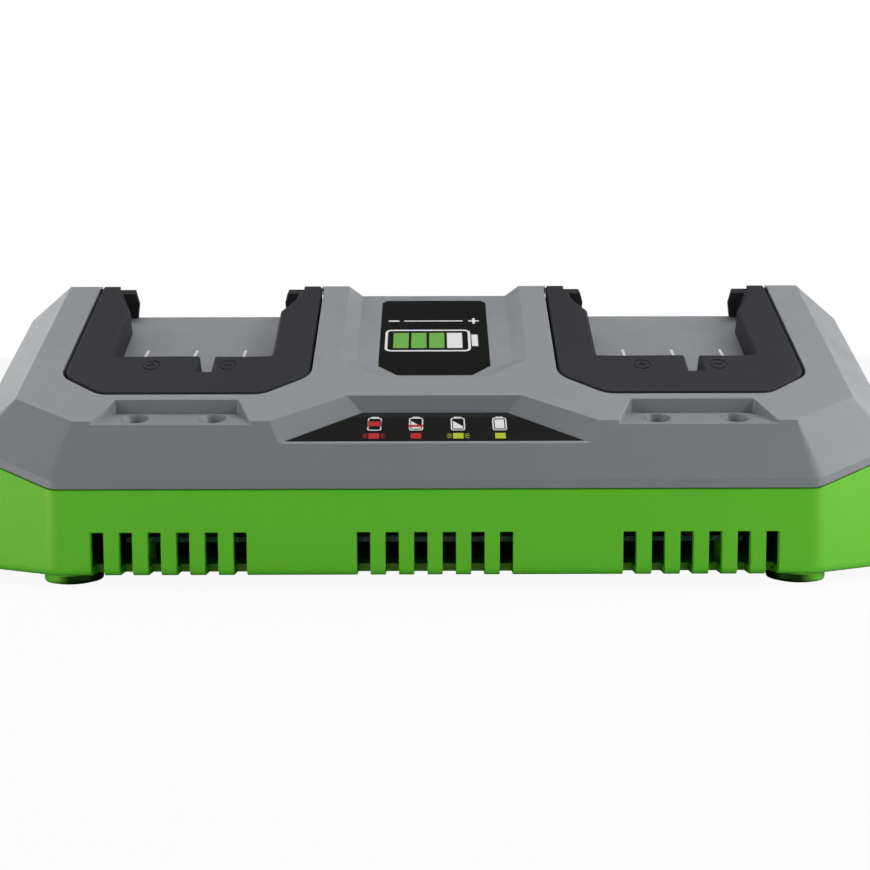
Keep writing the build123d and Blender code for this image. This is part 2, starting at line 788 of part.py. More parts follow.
with BuildPart() as foot_pad:
    Cylinder(foot_pad_radius, foot_pad_drop + foot_pad_recess, align=stand_up)
    chamfer(foot_pad.faces().sort_by(Axis.Z)[0].edges(), 0.4)
foot_names = ("foot_front_left", "foot_front_right", "foot_rear_left", "foot_rear_right")
for (x, y), name in zip(foot_places, foot_names):
    foot = foot_pad.part.moved(Location((x, y, 0)))
    foot.label = name
    export_step(foot, f"parts/{name}.step")


# ---------------------------------------------------------------- bays
def wing_pair(centre):
    """Two plates that close the rear of the pocket beside its mouth, leaning back to the tray."""
    half = pocket_width / 2
    reach = half + lead_in_widening + lead_in_flare + wing_shoulder / 2
    top = in_charger(centre, wing_front, -wing_drop)
    foot = in_charger(centre, rear_up(-rail_height) - wing_foot, -rail_height)
    high = in_charger(centre, rear_up(-wing_drop), -wing_drop).Z
    face = Plane(top, x_dir=(1, 0, 0), z_dir=(foot - top).cross(Vector(1, 0, 0)))
    shape = [
        (reach, foot.Z - wing_foot),
        (half + wing_foot_lean, foot.Z - wing_foot),
        (half, high - wing_edge_height),
        (half + wing_edge_lean, high),
        (reach, high),
    ]
    with BuildPart() as wings:
        with BuildSketch(rear_plane):
            for side in (-1, 1):
                with BuildLine():
                    Polyline(*[(centre + side * x, -z) for x, z in shape], close=True)
                make_face()
        extrude(amount=-2 * wing_thickness)
        split(bisect_by=deck.offset(-wing_drop), keep=Keep.BOTTOM)
        split(bisect_by=deck.offset(-rail_height), keep=Keep.TOP)
        split(bisect_by=face, keep=Keep.BOTTOM)
    return wings.part


def rail_frame(centre):
    """A black U-shaped rail frame with its leaning lead-in, key notch and polarity signs."""
    with BuildPart() as pocket:
        for level, shape in (
            (0.0, (0.0, lead_in_widening, lead_in_flare)),
            (-rail_height, (pocket_foot_widening, lead_in_foot_widening, lead_in_foot_flare)),
        ):
            with BuildSketch(deck.offset(level)) as plan:
                with BuildLine():
                    Polyline(*[(x + centre, up) for x, up in pocket_outline(*shape)], close=True)
                make_face()
                fillet([v for v in plan.vertices() if v.Y < past_rear - 1], pocket_rounding)
        loft(ruled=True)
    with BuildPart() as frame:
        with BuildSketch(deck) as plan:
            with BuildLine():
                Polyline(*[(x + centre, up) for x, up in rail_outline()], close=True)
            make_face()
            fillet([v for v in plan.vertices() if v.Y < past_rear - 1], rail_rounding)
            with Locations((centre + key_notch_offset, pocket_front)):
                Rectangle(key_notch_width, 2 * key_notch_depth, mode=Mode.SUBTRACT)
        extrude(amount=-rail_height)
        add(pocket.part, mode=Mode.SUBTRACT)
        top_edges = frame.faces().sort_by(Axis(deck.origin, deck.z_dir))[-1].edges()
        chamfer(top_edges, rail_edge)
        split(bisect_by=rear_plane, keep=Keep.BOTTOM)
        # Hollow arms and the lowered wings
        with BuildSketch(deck.offset(-rail_height)):
            channel_rear = wing_front - 2 * rail_wall
            for side in (-1, 1):
                with Locations((centre + side * frame_screw_x, (pocket_front + channel_rear) / 2)):
                    Rectangle(channel_outer - channel_inner, channel_rear - pocket_front)
        extrude(amount=rail_height - rail_roof, mode=Mode.SUBTRACT)
        shoulder = lead_in_widening + lead_in_flare + wing_shoulder
        with BuildSketch(deck):
            with Locations((centre, wing_front + wing_thickness)):
                Rectangle(pocket_width + 2 * shoulder, 2 * wing_thickness)
        extrude(amount=-wing_drop, mode=Mode.SUBTRACT)
        add(wing_pair(centre))
        # Screw bosses inside the arms
        with BuildSketch(deck.offset(-rail_height)):
            with Locations((centre, 0)):
                with Locations(*frame_screw_places):
                    Circle(frame_boss_radius)
        extrude(amount=rail_height - rail_roof)
        with BuildSketch(deck.offset(-rail_height)):
            with Locations((centre, 0)):
                with Locations(*frame_screw_places):
                    Circle(frame_screw_radius + thread_gap)
        extrude(amount=frame_screw_bite + 0.3, mode=Mode.SUBTRACT)
        # Room for the terminal block and slots for its blades
        with BuildSketch(deck.offset(-rail_height)):
            with Locations((centre, blade_rear)):
                Rectangle(block_width + 2 * fit_gap, block_length + 2 * fit_gap)
        extrude(amount=rail_height - block_top + fit_gap, mode=Mode.SUBTRACT)
        with BuildSketch(deck.offset(-rail_height)):
            for place in blade_places:
                with Locations((centre + place, (blade_rear + pocket_front) / 2)):
                    Rectangle(blade_thickness + 2 * blade_slot_gap, pocket_front - blade_rear + 0.2)
        extrude(amount=rail_height - blade_top + blade_slot_gap, mode=Mode.SUBTRACT)
        # Engraved plus and minus signs, each in a ring
        with BuildSketch(deck):
            with Locations((centre + plus_offset, sign_up), (centre + minus_offset, sign_up)):
                Circle(sign_radius)
                Circle(sign_radius - sign_line, mode=Mode.SUBTRACT)
                Rectangle(sign_radius * 1.1, sign_line)
            with Locations((centre + plus_offset, sign_up)):
                Rectangle(sign_line, sign_radius * 1.1)
        extrude(amount=-sign_depth, mode=Mode.SUBTRACT)
    return frame.part


def blade_set(centre, grow=0.0):
    """Three contact blades with their tails."""
    with BuildPart() as blades:
        for place in blade_places:
            side = Plane(origin=in_charger(centre + place, 0, 0), x_dir=deck.y_dir, z_dir=(1, 0, 0))
            low = -blade_top - blade_height
            with BuildSketch(side):
                with BuildLine():
                    Polyline(
                        (block_front + 1.0, -blade_top),
                        (pocket_front + blade_level_reach, -blade_top),
                        (blade_end, -blade_top - blade_fall),
                        (blade_end, low + 1.0),
                        (blade_end - 1.5, low),
                        (blade_rear + tail_width / 2, low),
                        (blade_rear + tail_width / 2, -pocket_depth - bay_floor - tail_length),
                        (blade_rear - tail_width / 2, -pocket_depth - bay_floor - tail_length),
                        (blade_rear - tail_width / 2, low),
                        (block_front + 1.0, low),
                        close=True,
                    )
                make_face()
            extrude(amount=blade_thickness / 2, both=True)
    return blades.part


def terminal_block(centre):
    """The moulded block that holds a bay's contact blades."""
    with BuildPart() as block:
        with BuildSketch(deck.offset(-block_top)):
            with Locations((centre, blade_rear)):
                Rectangle(block_width, block_length)
        extrude(amount=-block_height)
        add(blade_set(centre), mode=Mode.SUBTRACT)
    return block.part


def frame_screws(centre):
    """Screws that hold a rail frame from inside the charger."""
    under_floor = deck.offset(-pocket_depth - bay_floor)
    with BuildPart() as screws:
        with BuildSketch(under_floor):
            with Locations((centre, 0)):
                with Locations(*frame_screw_places):
                    Circle(frame_screw_radius)
        extrude(amount=bay_floor + fit_gap + frame_screw_bite)
        with BuildSketch(under_floor):
            with Locations((centre, 0)):
                with Locations(*frame_screw_places):
                    Circle(frame_screw_head_radius)
        extrude(amount=-frame_screw_head_height)
        with BuildSketch(under_floor.offset(-frame_screw_head_height)):
            with Locations((centre, 0)):
                with Locations(*frame_screw_places):
                    Rectangle(0.6, 2.6)
                    Rectangle(2.6, 0.6)
        extrude(amount=0.8, mode=Mode.SUBTRACT)
    return screws.part


for side, centre in (("left", -bay_offset), ("right", bay_offset)):
    pieces = (
        ("rail_frame", rail_frame(centre)),
        ("terminal_block", terminal_block(centre)),
        ("contact_blades", blade_set(centre)),
        ("rail_frame_screws", frame_screws(centre)),
    )
    for name, piece in pieces:
        piece.label = f"{name}_{side}"
        export_step(piece, f"parts/{name}_{side}.step")

# ---------------------------------------------------------------- plates
with BuildPart() as name_plate:
    with BuildSketch(name_floor.offset(-name_plate_thickness)):
        with BuildLine():
            Polyline(*name_plate_points(), close=True)
        make_face()
    extrude(amount=name_plate_thickness)
name_plate.part.label = "name_plate"
export_step(name_plate.part, "parts/name_plate.step")

with BuildPart() as legend_panel:
    with BuildSketch(deck.offset(-legend_depth - legend_thickness)):
        with BuildLine():
            Polyline(*legend_plate_points(), close=True)
        make_face()
    extrude(amount=legend_thickness)
legend_panel.part.label = "legend_panel"
export_step(legend_panel.part, "parts/legend_panel.step")

# ---------------------------------------------------------------- charge lamps
lamp_names = ("lamp_red_left", "lamp_green_left", "lamp_red_right", "lamp_green_right")
for (x, y, z), name in zip(lamp_places, lamp_names):
    with BuildPart() as lamp:
        with Locations(lamp_floor * Location((x, y, lamp_board_top))):
            Cylinder(lamp_radius, lamp_body, align=stand_up)
            Cylinder(lamp_radius + lamp_flange, 1.0, align=stand_up)
        with Locations(lamp_floor * Location((x, y, lamp_tip - lamp_radius))):
            Sphere(lamp_radius)
        for pin in (-1.27, 1.27):
            with Locations(lamp_floor * Location((x + pin, y, lamp_board_top + 0.2))):
                Cylinder(0.3, lamp_board_thickness + 1.4, align=hang_down)
    lamp.part.label = name
    export_step(lamp.part, f"parts/{name}.step")

lamp_board_plane = lamp_floor.offset(lamp_board_top - lamp_board_thickness)
with BuildPart() as lamp_board_screws:
    for x, y, z in lamp_post_places:
        with Locations(lamp_board_plane * Location((x, y, 0))):
            Cylinder(small_screw_radius, lamp_board_thickness + small_screw_bite, align=stand_up)
            Cylinder(small_screw_head_radius, 1.2, align=hang_down)
for side, centre in (("left", -lamp_offset), ("right", lamp_offset)):
    with BuildPart() as lamp_board:
        with BuildSketch(lamp_board_plane):
            with Locations((centre, -lamp_from_back)):
                Rectangle(lamp_board_width, lamp_board_depth)
            for x, y, z in lamp_post_places:
                with Locations((x, y)):
                    Circle(small_screw_radius + screw_hole_gap, mode=Mode.SUBTRACT)
            for x, y, z in lamp_places:
                with Locations((x - 1.27, y), (x + 1.27, y)):
                    Circle(0.45, mode=Mode.SUBTRACT)
        extrude(amount=lamp_board_thickness)
    lamp_board.part.label = f"lamp_board_{side}"
    export_step(lamp_board.part, f"parts/lamp_board_{side}.step")
lamp_board_screws.part.label = "lamp_board_screws"
export_step(lamp_board_screws.part, "parts/lamp_board_screws.step")

# ---------------------------------------------------------------- housing screws
with BuildPart() as housing_screws:
    for x, y in housing_screw_places:
        seat = split_z(y) - screw_grip
        with Locations((x, y, seat)):
            Cylinder(screw_radius, screw_grip + screw_bite, align=stand_up)
            Cylinder(screw_head_radius, screw_head_height, align=hang_down)
        with Locations((x, y, seat - screw_head_height)):
            Cylinder(screw_socket_radius, screw_head_height * 0.6, align=stand_up, mode=Mode.SUBTRACT)
housing_screws.part.label = "housing_screws"
export_step(housing_screws.part, "parts/housing_screws.step")

# ---------------------------------------------------------------- main circuit board
with BuildPart() as main_board:
    with BuildSketch(Plane.XY.offset(board_z)):
        with Locations((0, board_centre_y)):
            Rectangle(board_width, board_depth)
        with Locations(*board_screw_places):
            Circle(frame_screw_radius + screw_hole_gap, mode=Mode.SUBTRACT)
    extrude(amount=board_thickness)
main_board.part.label = "main_board"
export_step(main_board.part, "parts/main_board.step")

with BuildPart() as board_screws:
    with Locations(*[(x, y, board_top) for x, y in board_screw_places]):
        Cylinder(frame_screw_radius, board_lift + board_thickness - 1.0, align=hang_down)
        Cylinder(frame_screw_head_radius, frame_screw_head_height, align=stand_up)
board_screws.part.label = "board_screws"
export_step(board_screws.part, "parts/board_screws.step")

# Transformer: a shell core round an upright centre leg, its bobbin and its winding
with BuildPart() as transformer_core:
    with BuildSketch(Plane.XZ.offset(-core_y - core_depth / 2)):
        with Locations((core_x, board_top + core_height / 2)):
            Rectangle(core_width, core_height)
            with Locations((-core_window_x, 0), (core_window_x, 0)):
                Rectangle(core_window, core_window_height, mode=Mode.SUBTRACT)
    extrude(amount=core_depth)
transformer_core.part.label = "transformer_core"
export_step(transformer_core.part, "parts/transformer_core.step")

with BuildPart() as transformer_bobbin:
    with BuildSketch(Plane.XY.offset(bobbin_low)):
        with Locations((core_x, core_y)):
            Rectangle(bobbin_width, bobbin_depth)
            Rectangle(core_leg + 2 * fit_gap, core_depth + 2 * fit_gap, mode=Mode.SUBTRACT)
    extrude(amount=bobbin_height)
    with BuildSketch(Plane.XY.offset(bobbin_low + bobbin_skin)):
        with Locations((core_x, core_y)):
            Rectangle(bobbin_width, bobbin_depth)
            Rectangle(core_leg + 2 * bobbin_skin, core_depth + 2 * bobbin_skin, mode=Mode.SUBTRACT)
    extrude(amount=bobbin_height - 2 * bobbin_skin, mode=Mode.SUBTRACT)
transformer_bobbin.part.label = "transformer_bobbin"
export_step(transformer_bobbin.part, "parts/transformer_bobbin.step")

with BuildPart() as transformer_winding:
    with BuildSketch(Plane.XY.offset(bobbin_low + bobbin_skin)):
        with Locations((core_x, core_y)):
            Rectangle(bobbin_width - 1.0, bobbin_depth - 1.0)
            Rectangle(core_leg + 2 * bobbin_skin, core_depth + 2 * bobbin_skin, mode=Mode.SUBTRACT)
    extrude(amount=bobbin_height - 2 * bobbin_skin)
    fillet(transformer_winding.edges().filter_by(Axis.Z).group_by(SortBy.DISTANCE)[-1], 2.0)
transformer_winding.part.label = "transformer_winding"
export_step(transformer_winding.part, "parts/transformer_winding.step")

# Common-mode choke: a ring core with two windings
choke_axis = Plane(origin=(choke_x, choke_y, board_top), x_dir=(1, 0, 0), z_dir=(0, 0, 1))
with BuildPart() as choke_core:
    with BuildSketch(choke_axis.offset(choke_cover)):
        Circle(choke_radius)
        Circle(choke_bore, mode=Mode.SUBTRACT)
    extrude(amount=choke_height)
choke_core.part.label = "choke_core"
export_step(choke_core.part, "parts/choke_core.step")

with BuildPart() as choke_windings:
    with BuildSketch(choke_axis):
        Circle(choke_radius + choke_cover)
        Circle(choke_bore - choke_cover, mode=Mode.SUBTRACT)
        Rectangle(4 * choke_radius, choke_radius * 0.7, mode=Mode.SUBTRACT)
    extrude(amount=choke_height + 2 * choke_cover)
    add(choke_core.part, mode=Mode.SUBTRACT)
choke_windings.part.label = "choke_windings"
export_step(choke_windings.part, "parts/choke_windings.step")

# Capacitors
with BuildPart() as bulk_capacitor:
    with Locations((bulk_x, bulk_y, board_top)):
        Cylinder(bulk_radius, bulk_height, align=stand_up)
    fillet(bulk_capacitor.faces().sort_by(Axis.Z)[-1].edges(), 1.0)
bulk_capacitor.part.label = "bulk_capacitor"
export_step(bulk_capacitor.part, "parts/bulk_capacitor.step")

with BuildPart() as output_capacitors:
    for step in range(3):
        with Locations((output_x + step * output_pitch, output_y, board_top)):
            Cylinder(output_radius, output_height, align=stand_up)
    fillet(output_capacitors.faces().group_by(Axis.Z)[-1].edges(), 0.6)
output_capacitors.part.label = "output_capacitors"
export_step(output_capacitors.part, "parts/output_capacitors.step")


def box_on_board(size, x, y):
    """A rounded upright box standing on the main board."""
    with BuildPart() as box:
        with Locations((x, y, board_top)):
            Box(*size, align=stand_up)
        fillet(box.edges().filter_by(Axis.Z), min(size[:2]) * 0.12)
    return box.part


def heat_sink(x, y):
    """A finned plate standing on the main board."""
    with BuildPart() as sink:
        with Locations((x, y, board_top)):
            Box(sink_length, sink_thickness, sink_height, align=stand_up)
        for fin in range(sink_fins):
            offset = (fin - (sink_fins - 1) / 2) * sink_length / sink_fins
            with Locations((x + offset, y - (sink_thickness + sink_fin) / 2, board_top)):
                Box(sink_fin_thickness, sink_fin, sink_height, align=stand_up)
    return sink.part


def transistors(x, y):
    """Two upright power packages against the back of a heat sink."""
    with BuildPart() as pair:
        for offset in (-sink_length / 4, sink_length / 4):
            place = (x + offset, y + (sink_thickness + chip_thickness) / 2, board_top + chip_lift)
            with Locations(place):
                Box(chip_width, chip_thickness, chip_height, align=stand_up)
            for leg in (-2.54, 0, 2.54):
                with Locations((place[0] + leg, place[1], board_top)):
                    Box(0.8, 0.6, chip_lift, align=stand_up)
    return pair.part


board_pieces = {
    "x_capacitor": box_on_board(x_capacitor_size, *x_capacitor_place),
    "bridge_rectifier": box_on_board(bridge_size, *bridge_place),
    "controller_chip": box_on_board(controller_size, *controller_place),
    "heat_sink_primary": heat_sink(sink_primary_x, sink_y),
    "heat_sink_output": heat_sink(sink_output_x, sink_y),
    "power_transistors": transistors(sink_primary_x, sink_y),
    "output_rectifiers": transistors(sink_output_x, sink_y),
    "lead_header_left": box_on_board(header_size, -header_x, header_y),
    "lead_header_right": box_on_board(header_size, header_x, header_y),
}
for name, piece in board_pieces.items():
    piece.label = name
    export_step(piece, f"parts/{name}.step")

with BuildPart() as fuse:
    with Locations(Location((fuse_x, fuse_y, board_top + fuse_radius + 0.8), (90, 0, 0))):
        Cylinder(fuse_radius, fuse_length)
        for end in (-1, 1):
            with Locations((0, 0, end * (fuse_length / 2 - 2.0))):
                Cylinder(fuse_radius + 0.3, 4.0)
    for end in (-1, 1):
        with Locations((fuse_x, fuse_y + end * (fuse_length / 2 - 2.0), board_top)):
            Box(3.0, 2.0, fuse_radius, align=stand_up)
fuse.part.label = "fuse"
export_step(fuse.part, "parts/fuse.step")

# ---------------------------------------------------------------- fan
fan_front = fan_back.offset(-fan_thickness)
blade_out = fan_duct_radius - fan_blade_gap
with BuildPart() as fan_frame:
    with BuildSketch(fan_back):
        RectangleRounded(fan_size, fan_size, 2.5)
        Circle(fan_duct_radius, mode=Mode.SUBTRACT)
        with GridLocations(fan_hole_span, fan_hole_span, 2, 2):
            Circle(frame_screw_radius + thread_gap, mode=Mode.SUBTRACT)
    extrude(amount=-fan_thickness)
    with BuildSketch(fan_front):
        Circle(fan_hub_radius)
        with PolarLocations((fan_duct_radius + fan_hub_radius) / 2, 4, start_angle=45):
            Rectangle(fan_duct_radius - fan_hub_radius + 2.0, fan_strut)
    extrude(amount=fan_web)
    with BuildSketch(fan_front):
        Circle(fan_bearing_radius)
    extrude(amount=fan_thickness - fan_cap - fan_blade_gap - 0.8)
    with BuildSketch(fan_front.offset(0.4)):
        Circle(fan_shaft_radius + fan_shaft_gap)
    extrude(amount=fan_thickness, mode=Mode.SUBTRACT)
fan_frame.part.label = "fan_frame"
export_step(fan_frame.part, "parts/fan_frame.step")

with BuildPart() as fan_coil:
    with BuildSketch(fan_front.offset(fan_web)):
        Circle(fan_coil_radius)
        Circle(fan_bearing_radius, mode=Mode.SUBTRACT)
    extrude(amount=fan_thickness - fan_web - fan_cap - 2 * fan_blade_gap - 1.0)
fan_coil.part.label = "fan_coil"
export_step(fan_coil.part, "parts/fan_coil.step")

rotor_low = fan_web + fan_blade_gap
rotor_high = fan_thickness - 0.5
rotor_middle = fan_front.offset((rotor_low + rotor_high) / 2)
with BuildPart() as fan_rotor:
    with Locations(rotor_middle):
        with PolarLocations((fan_hub_radius + blade_out) / 2, fan_blades):
            Box(
                blade_out - fan_hub_radius + 4.0,
                fan_blade_chord,
                fan_blade_thickness,
                rotation=(fan_blade_pitch, 0, 0),
            )
    with BuildSketch(fan_front.offset(rotor_low)):
        Circle(blade_out)
    extrude(amount=rotor_high - rotor_low, mode=Mode.INTERSECT)
    with BuildSketch(fan_front.offset(rotor_low)):
        Circle(fan_hub_radius)
    extrude(amount=rotor_high - rotor_low)
    with BuildSketch(fan_front.offset(rotor_low)):
        Circle(fan_coil_radius + fan_blade_gap)
    extrude(amount=rotor_high - rotor_low - fan_cap, mode=Mode.SUBTRACT)
    with BuildSketch(fan_front.offset(1.0)):
        Circle(fan_shaft_radius)
    extrude(amount=rotor_high - 1.2)
fan_rotor.part.label = "fan_rotor"
export_step(fan_rotor.part, "parts/fan_rotor.step")

fan_screw_seat = fan_back.offset(wall + fit_gap - frame_screw_head_height)
with BuildPart() as fan_screws:
    with BuildSketch(fan_screw_seat):
        with GridLocations(fan_hole_span, fan_hole_span, 2, 2):
            Circle(frame_screw_radius)
    extrude(amount=-(wall + fit_gap - frame_screw_head_height + fan_screw_bite))
    with BuildSketch(fan_screw_seat):
        with GridLocations(fan_hole_span, fan_hole_span, 2, 2):
            Circle(frame_screw_head_radius)
    extrude(amount=frame_screw_head_height - 0.1)
    with BuildSketch(fan_screw_seat.offset(frame_screw_head_height - 0.1)):
        with GridLocations(fan_hole_span, fan_hole_span, 2, 2):
            Rectangle(0.6, 2.6)
            Rectangle(2.6, 0.6)
    extrude(amount=-0.8, mode=Mode.SUBTRACT)
fan_screws.part.label = "fan_screws"
export_step(fan_screws.part, "parts/fan_screws.step")

# ---------------------------------------------------------------- mains inlet
with BuildPart() as mains_inlet:
    with BuildSketch(inlet_face):
        RectangleRounded(inlet_body_width, inlet_body_height, 1.9)
    extrude(amount=-inlet_body_depth)
    with BuildSketch(inlet_face.offset(-wall - fit_gap)):
        RectangleRounded(inlet_body_width + 2 * inlet_flange, inlet_body_height + 2 * inlet_flange, 2.5)
    extrude(amount=-inlet_flange)
    with BuildSketch(inlet_face):
        SlotOverall(inlet_lobe_pitch + 2 * inlet_lobe_radius, 2 * inlet_lobe_radius)
    extrude(amount=-inlet_socket_depth, mode=Mode.SUBTRACT)
    with BuildSketch(inlet_face.offset(-inlet_socket_depth)):
        with Locations((-inlet_lobe_pitch / 2, 0), (inlet_lobe_pitch / 2, 0)):
            Circle(inlet_pin_radius)
    extrude(amount=-inlet_body_depth, mode=Mode.SUBTRACT)
mains_inlet.part.label = "mains_inlet"
export_step(mains_inlet.part, "parts/mains_inlet.step")

with BuildPart() as inlet_pins:
    with BuildSketch(inlet_face.offset(inlet_pin_length - inlet_socket_depth)):
        with Locations((-inlet_lobe_pitch / 2, 0), (inlet_lobe_pitch / 2, 0)):
            Circle(inlet_pin_radius)
    extrude(amount=-(inlet_pin_length + inlet_body_depth - inlet_socket_depth + inlet_pin_tail))
    fillet(inlet_pins.faces().sort_by(Axis.Y)[-2:].edges(), 0.6)
inlet_pins.part.label = "inlet_pins"
export_step(inlet_pins.part, "parts/inlet_pins.step")


# ---------------------------------------------------------------- wires
down = Vector(0, 0, -1)


def wire_set(routes):
    """Round wires, each along a curve through points with a leaving and an arriving direction."""
    with BuildPart() as wires:
        for route in routes:
            points, leaving, arriving = route
            with BuildLine() as path:
                Spline(*points, tangents=[leaving, arriving])
            with BuildSketch(Plane(origin=path.line @ 0, z_dir=path.line % 0)):
                Circle(wire_radius)
            sweep(path=path.line)
    return wires.part


def bay_leads(side, centre):
    """Wires from the contact tails of a bay down to its header on the board."""
    routes = []
    for order, place in enumerate(blade_places):
        start = in_charger(centre + place, blade_rear, -pocket_depth - bay_floor - tail_length)
        end = Vector(side * header_x + (order - 1) * header_pitch, header_y, board_top + header_size[2])
        middle = Vector(
            start.X * 0.35 + end.X * 0.65,
            start.Y * 0.45 + end.Y * 0.55,
            start.Z * 0.5 + end.Z * 0.5,
        )
        routes.append(([start, middle, end], -deck.z_dir, down))
    return wire_set(routes)


inlet_tail_y = rear_y - inlet_body_depth - inlet_pin_tail
mains_routes = []
for pole, landing in ((-1, -6.0), (1, 3.0)):
    start = Vector(inlet_x + pole * inlet_lobe_pitch / 2, inlet_tail_y, inlet_z)
    end = Vector(-board_width / 2 + 5.0, inlet_tail_y - 10.0 + landing, board_top)
    middle = Vector((start.X + end.X) / 2, (start.Y + end.Y) / 2 - 4.0, inlet_z + 2.0)
    mains_routes.append(([start, middle, end], Vector(0, -1, 0), down))
fan_lead_end = board_centre_y + board_depth / 2 - 6.0
fan_routes = []
for order in (0, 1):
    x = fan_size / 2 - 1.4 - order * (2 * wire_radius + 0.6)
    start = Vector(x, fan_rear_y - fan_thickness, fan_centre_z - fan_size / 2 + 8.0)
    end = Vector(x, fan_lead_end, board_top)
    middle = Vector(x, (start.Y + end.Y) / 2 - 1.5, (start.Z + end.Z) / 2 + 1.0)
    fan_routes.append(([start, middle, end], Vector(0, -1, 0), down))
leads = {
    "bay_leads_left": bay_leads(-1, -bay_offset),
    "bay_leads_right": bay_leads(1, bay_offset),
    "mains_leads": wire_set(mains_routes),
    "fan_leads": wire_set(fan_routes),
}
for name, piece in leads.items():
    piece.label = name
    export_step(piece, f"parts/{name}.step")
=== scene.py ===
"""Two-bay battery charger: finishes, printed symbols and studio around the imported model."""

import logging
import math
from collections.abc import Callable
from dataclasses import dataclass, field
from enum import Enum

import bpy
import bmesh
from mathutils import Matrix, Vector


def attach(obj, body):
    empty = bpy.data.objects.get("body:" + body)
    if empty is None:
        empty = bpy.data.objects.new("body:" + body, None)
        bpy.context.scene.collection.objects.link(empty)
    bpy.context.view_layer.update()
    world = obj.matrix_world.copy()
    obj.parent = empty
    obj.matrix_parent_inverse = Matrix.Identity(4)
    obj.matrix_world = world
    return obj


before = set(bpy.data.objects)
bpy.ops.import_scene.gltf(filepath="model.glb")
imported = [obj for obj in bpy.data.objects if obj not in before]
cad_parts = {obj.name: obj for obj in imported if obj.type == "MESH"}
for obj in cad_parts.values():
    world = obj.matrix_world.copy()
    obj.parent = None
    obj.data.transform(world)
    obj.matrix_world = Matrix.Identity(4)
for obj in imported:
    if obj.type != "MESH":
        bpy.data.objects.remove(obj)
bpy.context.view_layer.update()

log = logging.getLogger("charger")

Rgb = tuple[float, float, float]
Point = tuple[float, float]
Place = tuple[float, float, float]
MM = 0.001

# Reach of the shared effects, in millimetres: edge wear, the painted shade of a hollow, the height
# of the foot bosses, and where their painted shadow starts to fade and ends, from the middle
RUBBED_WIDTH = 0.5
HOLLOW_REACH = 14.0
BOSS_HEIGHT = 3.3
FOOT_SHADOW_FULL = 113.0
FOOT_SHADOW_END = 119.5


